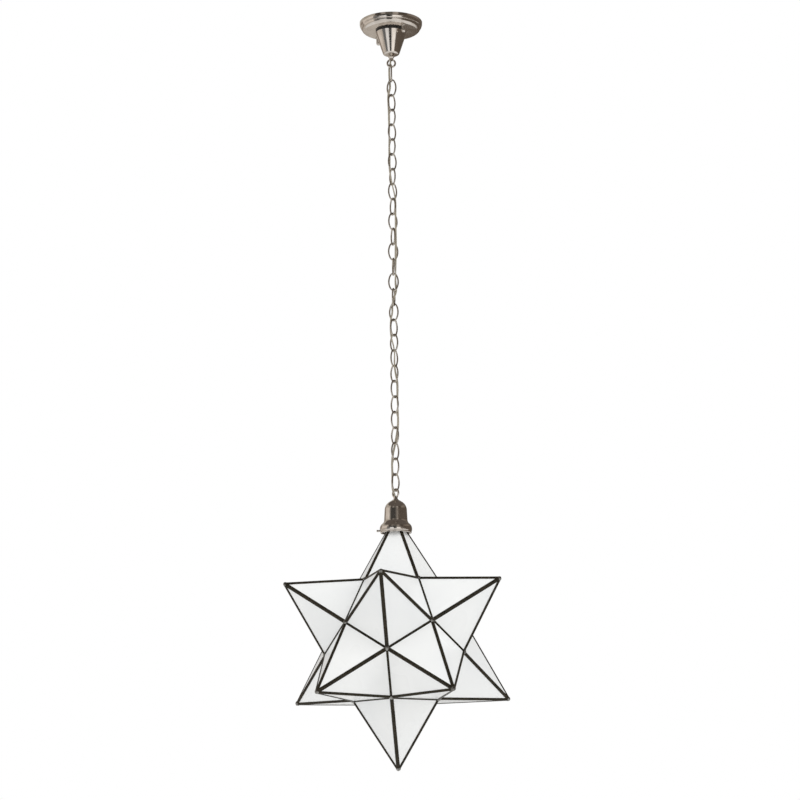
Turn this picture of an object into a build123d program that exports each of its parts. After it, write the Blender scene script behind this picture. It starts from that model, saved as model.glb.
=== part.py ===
from build123d import *
from math import atan2, cos, degrees, pi, radians, sin, sqrt, tan
import os

# A stellated glass star that hangs from the ceiling on a chain of oval links.
# Millimetres, +Z up. The origin is the middle of the ceiling plane, and all of it hangs below.

# Canopy: a stepped round dish with its open side against the ceiling
canopy_diameter = 133.4
canopy_depth = 19.5
canopy_wall = 1.0
canopy_lip_height = 3.0
canopy_curve_radius = 16.0
canopy_step_level = 11.0
canopy_step_inset = 2.1
canopy_step_width = 1.4
canopy_edge_height = 4.0
canopy_edge_width = 4.7
canopy_floor_inset = 7.1

# Straps in the canopy: one for the ceiling box, one turned under it for the canopy's studs
strap_width = 16.0
strap_thickness = 2.0
strap_end_margin = 7.0
box_screw_spacing = 88.9
box_slot_length = 11.0
box_slot_width = 4.8
stud_inset = 9.7
stud_direction = -55.6
stud_diameter = 4.2
stud_clearance = 0.5
stud_end_chamfer = 0.5
eyelet_diameter = 13.0
eyelet_bore = 9.0
eyelet_flange = 1.5

# Cap nuts that clamp the canopy to the ceiling
cap_nut_diameter = 9.6
cap_nut_length = 16.8
cap_nut_flange_diameter = 12.0
cap_nut_flange_thickness = 1.2
cap_nut_grip = 10.0
cap_nut_play = 0.05
cap_nut_bore_end = 1.0

# Cone that covers the nipple, with a dark spacer between it and the canopy
spacer_thickness = 4.0
spacer_width = 5.0
cone_top_diameter = 66.0
cone_bottom_diameter = 33.2
cone_height = 49.0
cone_wall = 1.2
cone_edge_radius = 4.5
cone_rim_setback = 0.6

# Threaded nipple through canopy and cone, and what it screws into
nipple_diameter = 9.6
nipple_bore = 6.6
nipple_clearance = 0.4
nipple_above_nut = 1.0
nipple_chamfer = 0.6
lock_nut_width = 15.0
lock_nut_thickness = 3.0
lock_washer_diameter = 20.0
lock_washer_thickness = 1.0

# Loops at both ends of the chain: a ring on a bored neck
loop_ring_diameter = 20.4
loop_wire = 4.0
loop_neck_diameter = 8.4
loop_bore = 5.4
hang_boss_diameter = 12.8
hang_boss_height = 7.0
hang_thread_depth = 5.0
hang_boss_taper = 1.5
ring_below_cone = 8.7

# Chain of oval wire links, bent shut with a butt seam on one side
link_count = 28
link_length = 39.3
link_width = 22.8
link_wire = 3.2
link_end_radius = 6.8
link_seam = 0.5
link_sides = 8
chain_play = 0.2
# How far each link's plane has turned from the one before but one: (link, degrees) read off the photograph
link_turns = ((1, 90), (3, 46), (7, 36), (11, 30), (15, 0), (18, -42), (28, -47))
hang_ring_turn = 0

# Lamp cord through the chain: straight down the nipple and the loop's neck, then through points chosen
# by hand. Each is a crossing down the chain, where a half is the middle of a link, then degrees round
# the chain and distance from its axis
cord_diameter = 4.2
cord_entry_drop = 2.3
cord_points = (
    (0, 136, 7.1), (1, 118, 8.2), (1.5, 162, 3.0), (2, 196, 8.1), (3, 180, 6.1), (4, 177, 5.7),
    (5, 178, 6.4), (6, 172, 5.8), (7, 160, 6.5), (8, 259, 7.7), (9, 357, 6.6), (10, 345, 5.9),
    (11, 343, 6.0), (12, 330, 6.7), (13, 322, 6.2), (14, 311, 7.3), (14.5, 38, 4.8), (15, 34, 7.5),
    (15.5, 81, 4.0), (16, 115, 8.2), (16.5, 146, 3.0), (17, 194, 7.2), (18, 183, 7.5), (19, 282, 6.6),
    (20, 270, 6.4), (20.5, 317, 3.3), (21, 4, 6.3), (22, 1, 5.7), (23, 352, 6.7), (24, 354, 6.7),
    (25, 89, 7.6), (26, 182, 7.1), (27, 178, 6.1), (28, 178, 7.1),
)

# Bell-shaped shade holder
holder_rim_diameter = 66.4
holder_bead_height = 2.5
holder_bead_rise = 0.5
holder_lip_height = 11.0
holder_shoulder_height = 19.5
holder_shoulder_diameter = 54.0
holder_waist_height = 24.5
holder_waist_diameter = 48.0
holder_crown_height = 52.0
holder_crown_diameter = 45.2
holder_height = 68.0
holder_crown_shoulder_height = 65.0
holder_crown_shoulder_diameter = 26.0
holder_flat_diameter = 16.8
holder_waist_bulge = 1.4
holder_wall = 1.2
holder_ring_rise = 5.0
holder_hole_clearance = 0.3
holder_flange_diameter = 12.8
holder_flange_thickness = 2.0
holder_flange_chamfer = 0.5
holder_neck_chamfer = 1.0
holder_shank_diameter = 9.6
holder_nut_width = 13.0
holder_nut_thickness = 3.0

# Socket and tubular bulb, E26
socket_top_height = 61.0
socket_cap_height = 14.0
socket_cap_diameter = 34.0
socket_cap_wall = 0.8
socket_cap_edge_radius = 3.0
socket_body_height = 50.0
socket_mouth_height = 14.0
socket_hub_diameter = 13.6
socket_hub_depth = 5.0
socket_floor = 3.0
socket_fit = 0.15
socket_post_diameter = 12.0
socket_post_length = 4.0
socket_play = 0.05
screw_shell_diameter = 27.8
screw_shell_wall = 0.4
screw_shell_setback = 1.5
bulb_base_diameter = 26.0
bulb_base_length = 24.0
bulb_base_wall = 0.8
bulb_contact_length = 3.0
bulb_contact_diameter = 9.0
bulb_contact_gap = 0.3
bulb_diameter = 28.0
bulb_tip_depth = 70.0
bulb_glass_wall = 0.9
bulb_neck_length = 8.0
bulb_neck_below_base = 1.0
bulb_shoulder_length = 5.0

# Thumbscrews that grip the star's collar
thumbscrew_count = 3
thumbscrew_turn = 172.0
thumbscrew_height = 6.0
thumbscrew_thread = 3.0
thumbscrew_head_diameter = 4.4
thumbscrew_head_length = 6.4
thumbscrew_head_gap = 0.8
thumbscrew_tip_gap = 0.3
thumbscrew_hole_clearance = 0.15

# Collar on the star's cut-off top point
collar_diameter = 52.0
collar_wall = 1.0
collar_top = 12.0
collar_lip = 0.5
collar_floor_height = 3.0
collar_floor_thickness = 1.0
bulb_gap = 1.2

# Star: twelve five-sided points of flat panes on a dodecahedron
tip_radius = 260.0
pane_base = 108.0
star_turn = -97.7
glass_thickness = 3.0
came_rise = 1.0
ridge_flange = 3.0
valley_flange = 2.2
ridge_web = 2.05
valley_web = 0.8
pane_play = 0.05
solder_seam = 0.1

# Leads and wire connectors in the canopy
lead_diameter = 2.2
lead_rise = 4.0
lead_bend_radius = 2.2
lead_gap = 0.2
lead_level_run = 3.5
connector_length = 20.0
connector_mouth_diameter = 9.2
connector_tip_diameter = 6.4
connector_bore = 6.0
connector_bore_depth = 7.0
connector_distance = 14.0

os.makedirs("parts", exist_ok=True)


def around(radius, turn, z):
    """A point at a radius and a turn in degrees about the hanging axis."""
    return (radius * cos(radians(turn)), radius * sin(radians(turn)), z)


def upright(turn):
    """The vertical plane through the hanging axis whose local x points along the turn."""
    return Plane(
        origin=(0, 0, 0),
        x_dir=(cos(radians(turn)), sin(radians(turn)), 0),
        z_dir=(sin(radians(turn)), -cos(radians(turn)), 0),
    )


def flat(turn, z):
    """A level plane at a height, with its local x along the turn."""
    return Plane(origin=(0, 0, z), x_dir=(cos(radians(turn)), sin(radians(turn)), 0), z_dir=(0, 0, 1))


# --- Heights that everything hangs from ---
canopy_floor = -canopy_depth
spacer_foot = canopy_floor - spacer_thickness
cone_foot = spacer_foot - cone_height
hang_ring_centre = cone_foot - ring_below_cone - loop_ring_diameter / 2
ring_radius = (loop_ring_diameter - loop_wire) / 2
link_half_length = (link_length - link_wire) / 2
link_half_width = (link_width - link_wire) / 2
link_pitch = link_length - 2 * link_wire - chain_play
first_link_top = hang_ring_centre - ring_radius + (loop_wire + link_wire) / 2 + chain_play
last_link_foot = first_link_top - (link_count - 1) * link_pitch - 2 * link_half_length
holder_ring_centre = last_link_foot + (loop_wire + link_wire) / 2 + chain_play - ring_radius
holder_top = holder_ring_centre - loop_ring_diameter / 2 - holder_ring_rise
rim = holder_top - holder_height

# --- Star: the foot pentagon of a point, how its panes lean, and where the cut for the bulb sets it ---
golden = (1 + sqrt(5)) / 2
valley_radius = pane_base * sqrt(3) * golden / 2
foot_radius = pane_base / (2 * sin(pi / 5))
foot_height = sqrt(valley_radius**2 - foot_radius**2)
foot_apothem = foot_radius * cos(pi / 5)
lean = atan2(foot_apothem, tip_radius - foot_height)
cut_apothem = bulb_diameter / 2 + bulb_gap + glass_thickness / cos(lean)
apex_above_rim = collar_floor_height + cut_apothem / tan(lean)
star_centre = rim + apex_above_rim - tip_radius


def link_turn(number):
    """The turn of a link's plane: a quarter turn from link to link, and the slow turn of the chain."""
    stations = link_turns
    if number >= stations[-1][0]:
        slow = stations[-1][1]
    else:
        pairs = zip(stations, stations[1:])
        (n0, t0), (n1, t1) = next(pair for pair in pairs if number <= pair[1][0])
        slow = t0 + (t1 - t0) * (number - n0) / (n1 - n0)
    return slow + 90 * (number - 1)


holder_ring_turn = link_turn(link_count + 1)

# --- Canopy ---
lip_radius = canopy_diameter / 2
step_radius = lip_radius - canopy_step_inset
floor_radius = step_radius - canopy_floor_inset
stud_radius = floor_radius - stud_inset

with BuildPart() as canopy:
    with BuildSketch(Plane.XZ):
        with BuildLine():
            lip = Line((lip_radius, 0), (lip_radius, -canopy_lip_height))
            upper = RadiusArc(lip @ 1, (step_radius, -canopy_step_level), canopy_curve_radius)
            step = Line(upper @ 1, (step_radius - canopy_step_width, -canopy_step_level))
            edge_start = (floor_radius + canopy_edge_width, canopy_floor + canopy_edge_height)
            lower = Line(step @ 1, edge_start)
            edge = TangentArc(lower @ 1, (floor_radius, canopy_floor), tangent=lower % 1)
            Line(edge @ 1, (nipple_diameter / 2 + nipple_clearance, canopy_floor))
            offset(amount=canopy_wall, side=Side.RIGHT)
        make_face()
    revolve(axis=Axis.Z)
    with Locations(flat(stud_direction, canopy_floor)):
        with Locations((stud_radius, 0), (-stud_radius, 0)):
            Cylinder(
                stud_diameter / 2 + stud_clearance,
                4 * canopy_wall,
                mode=Mode.SUBTRACT,
            )
canopy.part.label = "canopy"
export_step(canopy.part, "parts/canopy.step")

# --- Ceiling straps, eyelet, studs and cap nuts ---
strap_reach = box_screw_spacing / 2 + box_slot_length / 2 + strap_end_margin
with BuildPart() as box_strap:
    with BuildSketch(flat(0, -strap_thickness)):
        SlotOverall(2 * strap_reach, strap_width)
        Circle(eyelet_bore / 2 + eyelet_flange, mode=Mode.SUBTRACT)
        with Locations((box_screw_spacing / 2, 0), (-box_screw_spacing / 2, 0)):
            SlotOverall(box_slot_length, box_slot_width, mode=Mode.SUBTRACT)
    extrude(amount=strap_thickness)
box_strap.part.label = "box_strap"
export_step(box_strap.part, "parts/box_strap.step")

canopy_strap_reach = stud_radius + strap_end_margin
with BuildPart() as canopy_strap:
    with BuildSketch(flat(stud_direction, -2 * strap_thickness)):
        SlotOverall(2 * canopy_strap_reach, strap_width)
        Circle(eyelet_bore / 2 + eyelet_flange, mode=Mode.SUBTRACT)
        with Locations((stud_radius, 0), (-stud_radius, 0)):
            Circle(stud_diameter / 2, mode=Mode.SUBTRACT)
    extrude(amount=strap_thickness)
canopy_strap.part.label = "canopy_strap"
export_step(canopy_strap.part, "parts/canopy_strap.step")

# The eyelet's tube fills both straps' holes, and its flange is riveted over under the lower one
with BuildPart() as strap_eyelet:
    with BuildSketch(flat(0, -2 * strap_thickness)):
        Circle(eyelet_bore / 2 + eyelet_flange)
        Circle(eyelet_bore / 2, mode=Mode.SUBTRACT)
    extrude(amount=2 * strap_thickness)
    with BuildSketch(flat(0, -2 * strap_thickness)):
        Circle(eyelet_diameter / 2 + eyelet_flange)
        Circle(eyelet_bore / 2, mode=Mode.SUBTRACT)
    extrude(amount=-eyelet_flange)
strap_eyelet.part.label = "strap_eyelet"
export_step(strap_eyelet.part, "parts/strap_eyelet.step")

stud_foot = canopy_floor - cap_nut_grip
with BuildPart() as canopy_studs:
    with BuildSketch(flat(stud_direction, stud_foot)):
        with Locations((stud_radius, 0), (-stud_radius, 0)):
            Circle(stud_diameter / 2)
    extrude(amount=-strap_thickness - stud_foot)
    chamfer(canopy_studs.edges().group_by(Axis.Z)[0], stud_end_chamfer)
canopy_studs.part.label = "canopy_studs"
export_step(canopy_studs.part, "parts/canopy_studs.step")

nut_radius = cap_nut_diameter / 2
for name, side in (("cap_nut_near", 1), ("cap_nut_far", -1)):
    stud_point = around(side * stud_radius, stud_direction, canopy_floor - cap_nut_play)
    with BuildPart() as cap_nut:
        with BuildSketch(Plane(origin=stud_point, x_dir=(1, 0, 0), z_dir=(0, -1, 0))):
            with BuildLine():
                Polyline(
                    (0, 0),
                    (cap_nut_flange_diameter / 2, 0),
                    (cap_nut_flange_diameter / 2, -cap_nut_flange_thickness),
                    (nut_radius, -cap_nut_flange_thickness),
                    (nut_radius, nut_radius - cap_nut_length),
                )
                RadiusArc((nut_radius, nut_radius - cap_nut_length), (0, -cap_nut_length), nut_radius)
                Line((0, -cap_nut_length), (0, 0))
            make_face()
        revolve(axis=Axis(stud_point, (0, 0, 1)))
        with Locations(Plane(origin=stud_point)):
            Cylinder(
                stud_diameter / 2 + cap_nut_play,
                cap_nut_grip + cap_nut_bore_end,
                align=(Align.CENTER, Align.CENTER, Align.MAX),
                mode=Mode.SUBTRACT,
            )
    cap_nut.part.label = name
    export_step(cap_nut.part, f"parts/{name}.step")

# --- Cone, its spacer, and the nipple that draws canopy, spacer and cone together ---
cone_rim_radius = cone_top_diameter / 2
cone_foot_radius = cone_bottom_diameter / 2
nipple_hole_radius = nipple_diameter / 2 + nipple_clearance

with BuildPart() as cone_spacer:
    with BuildSketch(flat(0, spacer_foot)):
        Circle(cone_rim_radius - cone_rim_setback)
        Circle(cone_rim_radius - spacer_width, mode=Mode.SUBTRACT)
    extrude(amount=spacer_thickness)
cone_spacer.part.label = "cone_spacer"
export_step(cone_spacer.part, "parts/cone_spacer.step")

cone_slope = (cone_rim_radius - cone_foot_radius) / cone_height
with BuildPart() as cone:
    with BuildSketch(Plane.XZ):
        with BuildLine():
            FilletPolyline(
                (cone_rim_radius + cone_slope * cone_wall, spacer_foot + cone_wall),
                (cone_foot_radius, cone_foot),
                (nipple_hole_radius, cone_foot),
                radius=cone_edge_radius,
            )
            offset(amount=cone_wall, side=Side.RIGHT)
        make_face()
    revolve(axis=Axis.Z)
    split(bisect_by=Plane.XY.offset(spacer_foot), keep=Keep.BOTTOM)
cone.part.label = "cone"
export_step(cone.part, "parts/cone.step")

canopy_inner_floor = canopy_floor + canopy_wall
lock_washer_top = canopy_inner_floor + lock_washer_thickness
lock_nut_top = lock_washer_top + lock_nut_thickness
nipple_top = lock_nut_top + nipple_above_nut
nipple_foot = cone_foot - hang_thread_depth

with BuildPart() as nipple:
    with BuildSketch(flat(0, nipple_foot)):
        Circle(nipple_diameter / 2)
        Circle(nipple_bore / 2, mode=Mode.SUBTRACT)
    extrude(amount=nipple_top - nipple_foot)
    chamfer(nipple.faces().sort_by(Axis.Z)[-1].outer_wire().edges(), nipple_chamfer)
nipple.part.label = "nipple"
export_step(nipple.part, "parts/nipple.step")

with BuildPart() as nipple_lock_washer:
    with BuildSketch(flat(0, canopy_inner_floor)):
        Circle(lock_washer_diameter / 2)
        Circle(nipple_diameter / 2, mode=Mode.SUBTRACT)
    extrude(amount=lock_washer_thickness)
nipple_lock_washer.part.label = "nipple_lock_washer"
export_step(nipple_lock_washer.part, "parts/nipple_lock_washer.step")

with BuildPart() as nipple_lock_nut:
    with BuildSketch(flat(0, lock_washer_top)):
        RegularPolygon(lock_nut_width / 2, 6, major_radius=False)
        Circle(nipple_diameter / 2, mode=Mode.SUBTRACT)
    extrude(amount=lock_nut_thickness)
nipple_lock_nut.part.label = "nipple_lock_nut"
export_step(nipple_lock_nut.part, "parts/nipple_lock_nut.step")

# --- Hang loop: the boss takes the nipple and carries the cone, the ring carries the chain ---
hang_boss_foot = cone_foot - hang_boss_height
loop_bore_mouth = hang_ring_centre + ring_radius - loop_wire / 2
with BuildPart() as hang_loop:
    with Locations(upright(hang_ring_turn).shift_origin((0, 0, hang_ring_centre))):
        Torus(ring_radius, loop_wire / 2)
    with BuildSketch(Plane.XZ):
        with BuildLine():
            Polyline(
                (0, cone_foot),
                (hang_boss_diameter / 2, cone_foot),
                (hang_boss_diameter / 2, hang_boss_foot + hang_boss_taper),
                (loop_neck_diameter / 2, hang_boss_foot - hang_boss_taper),
                (loop_neck_diameter / 2, loop_bore_mouth),
                (0, loop_bore_mouth),
                close=True,
            )
        make_face()
    revolve(axis=Axis.Z)
    with Locations((0, 0, hang_ring_centre)):
        Cylinder(
            loop_bore / 2,
            loop_ring_diameter,
            align=(Align.CENTER, Align.CENTER, Align.MIN),
            mode=Mode.SUBTRACT,
        )
    with Locations((0, 0, nipple_foot)):
        Cylinder(
            nipple_diameter / 2,
            2 * hang_thread_depth,
            align=(Align.CENTER, Align.CENTER, Align.MIN),
            mode=Mode.SUBTRACT,
        )
hang_loop.part.label = "hang_loop"
export_step(hang_loop.part, "parts/hang_loop.step")

# --- Chain: each link is one wire bent into an oval of four tangent arcs, open at the butt seam ---
end_centre = link_half_length - link_end_radius
side_radius = (link_half_width**2 + end_centre**2 - link_end_radius**2) / (
    2 * (link_half_width - link_end_radius)
)
side_centre = side_radius - link_half_width
arc_meet = degrees(atan2(end_centre, side_centre))
seam_turn = degrees(link_seam / side_radius)

for number in range(1, link_count + 1):
    link_middle = first_link_top - link_half_length - (number - 1) * link_pitch
    link_plane = upright(link_turn(number)).shift_origin((0, 0, link_middle))
    with BuildPart() as chain_link:
        with BuildLine(link_plane):
            upper_side = CenterArc((-side_centre, 0), side_radius, seam_turn, arc_meet - seam_turn)
            CenterArc((0, end_centre), link_end_radius, arc_meet, 180 - 2 * arc_meet)
            CenterArc((side_centre, 0), side_radius, 180 - arc_meet, 2 * arc_meet)
            CenterArc((0, -end_centre), link_end_radius, 180 + arc_meet, 180 - 2 * arc_meet)
            CenterArc((-side_centre, 0), side_radius, -arc_meet, arc_meet)
        with BuildSketch(Plane(origin=upper_side @ 0, x_dir=link_plane.z_dir, z_dir=upper_side % 0)):
            RegularPolygon(link_wire / 2, link_sides, rotation=180 / link_sides)
        sweep()
    chain_link.part.label = f"chain_link_{number:02d}"
    export_step(chain_link.part, f"parts/chain_link_{number:02d}.step")

# --- Holder loop: ring, neck, flange, and a shank through the bell's crown into the socket cap ---
socket_top = rim + socket_top_height
loop_mouth = holder_ring_centre - ring_radius + loop_wire / 2
flange_top = holder_top + holder_flange_thickness
shank_foot = socket_top - socket_hub_depth
with BuildPart() as holder_loop:
    with Locations(upright(holder_ring_turn).shift_origin((0, 0, holder_ring_centre))):
        Torus(ring_radius, loop_wire / 2)
    with BuildSketch(Plane.XZ):
        with BuildLine():
            Polyline(
                (0, loop_mouth),
                (loop_neck_diameter / 2, loop_mouth),
                (loop_neck_diameter / 2, flange_top + holder_neck_chamfer),
                (holder_flange_diameter / 2, flange_top - holder_flange_chamfer),
                (holder_flange_diameter / 2, holder_top),
                (holder_shank_diameter / 2, holder_top),
                (holder_shank_diameter / 2, shank_foot),
                (0, shank_foot),
                close=True,
            )
        make_face()
    revolve(axis=Axis.Z)
    with Locations((0, 0, holder_ring_centre)):
        Cylinder(
            loop_bore / 2,
            holder_ring_centre - shank_foot + 1,
            align=(Align.CENTER, Align.CENTER, Align.MAX),
            mode=Mode.SUBTRACT,
        )
holder_loop.part.label = "holder_loop"
export_step(holder_loop.part, "parts/holder_loop.step")

# --- Shade holder: a spun bell with a rolled bead at its rim ---
rim_radius = holder_rim_diameter / 2
bead_radius = holder_bead_height / 2
bell_radius = rim_radius - holder_bead_rise
waist_radius = holder_waist_diameter / 2
crown_radius = holder_crown_diameter / 2
screw_height = rim + thumbscrew_height
screw_turns = [thumbscrew_turn + number * 360 / thumbscrew_count for number in range(thumbscrew_count)]
with BuildPart() as shade_holder:
    with BuildSketch(Plane.XZ):
        with BuildLine():
            lip = Line((bell_radius, rim + bead_radius), (bell_radius, rim + holder_lip_height))
            shoulder = TangentArc(
                lip @ 1,
                (holder_shoulder_diameter / 2, rim + holder_shoulder_height),
                tangent=lip % 1,
            )
            waist = ThreePointArc(
                shoulder @ 1,
                (waist_radius + holder_waist_bulge, rim + holder_shoulder_height + holder_waist_bulge),
                (waist_radius, rim + holder_waist_height),
            )
            bell = Line(waist @ 1, (crown_radius, rim + holder_crown_height))
            crown = TangentArc(
                bell @ 1,
                (holder_crown_shoulder_diameter / 2, rim + holder_crown_shoulder_height),
                tangent=bell % 1,
            )
            saddle = Line(crown @ 1, (holder_flat_diameter / 2, holder_top))
            Line(saddle @ 1, (holder_shank_diameter / 2 + holder_hole_clearance, holder_top))
            offset(amount=holder_wall, side=Side.LEFT)
        make_face()
    revolve(axis=Axis.Z)
    with Locations((0, 0, rim + bead_radius)):
        Torus(rim_radius - bead_radius, bead_radius)
    for screw_turn in screw_turns:
        inside_wall = around(bell_radius - 3 * holder_wall, screw_turn, screw_height)
        with BuildSketch(Plane(origin=inside_wall, z_dir=around(1, screw_turn, 0))):
            Circle(thumbscrew_thread / 2 + thumbscrew_hole_clearance)
        extrude(amount=4 * holder_wall, mode=Mode.SUBTRACT)
shade_holder.part.label = "shade_holder"
export_step(shade_holder.part, "parts/shade_holder.step")

crown_underside = holder_top - holder_wall
with BuildPart() as holder_lock_nut:
    with BuildSketch(flat(0, crown_underside - holder_nut_thickness)):
        RegularPolygon(holder_nut_width / 2, 6, major_radius=False)
        Circle(holder_shank_diameter / 2, mode=Mode.SUBTRACT)
    extrude(amount=holder_nut_thickness)
holder_lock_nut.part.label = "holder_lock_nut"
export_step(holder_lock_nut.part, "parts/holder_lock_nut.step")

# --- Socket: cap on the shank, body pushed up into the cap, screw shell on the body's post ---
socket_cap_radius = socket_cap_diameter / 2
socket_cap_foot = socket_top - socket_cap_height
with BuildPart() as socket_cap:
    with BuildSketch(flat(0, socket_cap_foot)):
        Circle(socket_cap_radius)
    extrude(amount=socket_cap_height)
    fillet(socket_cap.edges().group_by(Axis.Z)[-1], socket_cap_edge_radius)
    offset(amount=-socket_cap_wall, openings=socket_cap.faces().sort_by(Axis.Z)[0])
    with BuildSketch(flat(0, shank_foot)):
        Circle(socket_hub_diameter / 2)
    extrude(amount=socket_hub_depth - socket_cap_wall)
    with BuildSketch(flat(0, shank_foot)):
        Circle(holder_shank_diameter / 2)
    extrude(amount=socket_hub_depth, mode=Mode.SUBTRACT)
socket_cap.part.label = "socket_cap"
export_step(socket_cap.part, "parts/socket_cap.step")

socket_body_top = rim + socket_body_height
socket_mouth = rim + socket_mouth_height
socket_ceiling = socket_body_top - socket_floor
post_foot = socket_ceiling - socket_post_length
screw_shell_radius = screw_shell_diameter / 2
with BuildPart() as socket_body:
    with BuildSketch(flat(0, socket_mouth)):
        Circle(socket_cap_radius - socket_cap_wall - socket_fit)
    extrude(amount=socket_body_top - socket_mouth)
    with BuildSketch(flat(0, socket_mouth)):
        Circle(screw_shell_radius + socket_play)
    extrude(amount=socket_ceiling - socket_mouth, mode=Mode.SUBTRACT)
    with BuildSketch(flat(0, post_foot)):
        Circle(socket_post_diameter / 2)
    extrude(amount=socket_post_length)
socket_body.part.label = "socket_body"
export_step(socket_body.part, "parts/socket_body.step")

with BuildPart() as screw_shell:
    with BuildSketch(flat(0, socket_mouth + screw_shell_setback)):
        Circle(screw_shell_radius)
    extrude(amount=post_foot - socket_mouth - screw_shell_setback)
    offset(amount=-screw_shell_wall, openings=screw_shell.faces().sort_by(Axis.Z)[0])
    with BuildSketch(flat(0, post_foot)):
        Circle(socket_post_diameter / 2 + socket_play)
    extrude(amount=-2 * screw_shell_wall, mode=Mode.SUBTRACT)
screw_shell.part.label = "screw_shell"
export_step(screw_shell.part, "parts/screw_shell.step")

# --- Tubular bulb: base, and a glass tube whose neck is cemented into it ---
bulb_base_top = post_foot - bulb_contact_gap - bulb_contact_length
bulb_base_foot = bulb_base_top - bulb_base_length
bulb_base_radius = bulb_base_diameter / 2
with BuildPart() as bulb_base:
    with BuildSketch(flat(0, bulb_base_foot)):
        Circle(bulb_base_radius)
    extrude(amount=bulb_base_length)
    chamfer(bulb_base.edges().group_by(Axis.Z)[-1], bulb_contact_length)
    with BuildSketch(flat(0, bulb_base_foot)):
        Circle(bulb_base_radius - bulb_base_wall)
    extrude(amount=bulb_neck_length, mode=Mode.SUBTRACT)
    with BuildSketch(flat(0, bulb_base_top)):
        Circle(bulb_contact_diameter / 2)
    extrude(amount=bulb_contact_length)
    chamfer(bulb_base.edges().group_by(Axis.Z)[-1], bulb_contact_length / 3)
bulb_base.part.label = "bulb_base"
export_step(bulb_base.part, "parts/bulb_base.step")

bulb_radius = bulb_diameter / 2
bulb_tip = rim - bulb_tip_depth
bulb_neck_radius = bulb_base_radius - bulb_base_wall
bulb_neck_top = bulb_base_foot + bulb_neck_length
with BuildPart() as bulb_glass:
    with BuildSketch(Plane.XZ):
        with BuildLine():
            Polyline(
                (bulb_neck_radius, bulb_neck_top),
                (bulb_neck_radius, bulb_base_foot - bulb_neck_below_base),
                (bulb_radius, bulb_base_foot - bulb_shoulder_length),
                (bulb_radius, bulb_tip + bulb_radius),
            )
            RadiusArc((bulb_radius, bulb_tip + bulb_radius), (0, bulb_tip), bulb_radius)
            offset(amount=bulb_glass_wall, side=Side.RIGHT)
        make_face()
    revolve(axis=Axis.Z)
bulb_glass.part.label = "bulb_glass"
export_step(bulb_glass.part, "parts/bulb_glass.step")

# --- Star collar: a short tube round the cut top point, with a floor soldered on the cut ---
collar_radius = collar_diameter / 2
collar_floor = rim + collar_floor_height
with BuildPart() as star_collar:
    with BuildSketch(flat(0, collar_floor - collar_lip)):
        Circle(collar_radius)
    extrude(amount=rim + collar_top - collar_floor + collar_lip)
    with BuildSketch(flat(0, collar_floor - collar_lip)):
        Circle(collar_radius - collar_wall)
    extrude(amount=collar_lip, mode=Mode.SUBTRACT)
    with BuildSketch(flat(0, collar_floor + collar_floor_thickness)):
        Circle(collar_radius - collar_wall)
    extrude(amount=rim + collar_top - collar_floor, mode=Mode.SUBTRACT)
    with BuildSketch(flat(0, collar_floor)):
        Circle(bulb_radius + bulb_gap)
    extrude(amount=collar_floor_thickness, mode=Mode.SUBTRACT)
    fillet(star_collar.edges().group_by(Axis.Z)[-1].sort_by(SortBy.RADIUS)[-1], collar_wall / 2)
star_collar.part.label = "star_collar"
export_step(star_collar.part, "parts/star_collar.step")

# --- Thumbscrews through the bell's wall, their tips against the collar ---
screw_start = collar_radius + thumbscrew_tip_gap
head_start = bell_radius + thumbscrew_head_gap
for number, screw_turn in enumerate(screw_turns, 1):
    outward = around(1, screw_turn, 0)
    with BuildPart() as thumbscrew:
        with BuildSketch(Plane(origin=around(screw_start, screw_turn, screw_height), z_dir=outward)):
            Circle(thumbscrew_thread / 2)
        extrude(amount=head_start - screw_start)
        with BuildSketch(Plane(origin=around(head_start, screw_turn, screw_height), z_dir=outward)):
            Circle(thumbscrew_head_diameter / 2)
        extrude(amount=thumbscrew_head_length)
        chamfer(
            thumbscrew.edges().filter_by(GeomType.CIRCLE).sort_by(SortBy.RADIUS)[-2:],
            thumbscrew_thread / 6,
        )
    thumbscrew.part.label = f"thumbscrew_{number}"
    export_step(thumbscrew.part, f"parts/thumbscrew_{number}.step")

# --- Star: one point's solids, then all twelve ---
pane_height = sqrt(foot_apothem**2 + (tip_radius - foot_height) ** 2)
pane_slant = sqrt((pane_base / 2) ** 2 + pane_height**2)
side_slope = foot_apothem / foot_height
seam_height = solder_seam / 2 * sqrt(1 + side_slope**2) / side_slope


def spike(grow):
    """A point's solid from the star's middle to its tip, with its panes' planes moved out by grow."""
    reach = side_slope * (tip_radius - seam_height + grow * sin(lean)) - grow * cos(lean)
    reach = reach / (sin(lean) + side_slope * cos(lean))
    widest_height = tip_radius - reach * cos(lean) + grow * sin(lean)
    widest_apothem = reach * sin(lean) + grow * cos(lean)
    with BuildSketch(Plane.XY.offset(widest_height)) as widest:
        RegularPolygon(widest_apothem, 5, major_radius=False)
    middle = Vertex(0, 0, seam_height)
    peak = Vertex(0, 0, tip_radius + grow / sin(lean))
    return loft([middle, widest.sketch, peak], ruled=True)


def pane_outline(ridge_inset, valley_inset):
    """A pane's three corners in its own plane, its edges inset from the ridges and the valley."""
    half_width = pane_base / 2 * (1 - valley_inset / pane_height) - ridge_inset * pane_slant / pane_height
    peak = pane_height - ridge_inset * pane_slant / (pane_base / 2)
    return (-half_width, valley_inset), (half_width, valley_inset), (0, peak)


pane_planes = [
    Plane(
        origin=around(foot_apothem, 36 + 72 * side, foot_height),
        x_dir=(-sin(radians(36 + 72 * side)), cos(radians(36 + 72 * side)), 0),
        z_dir=around(cos(lean), 36 + 72 * side, sin(lean)),
    )
    for side in range(5)
]

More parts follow.
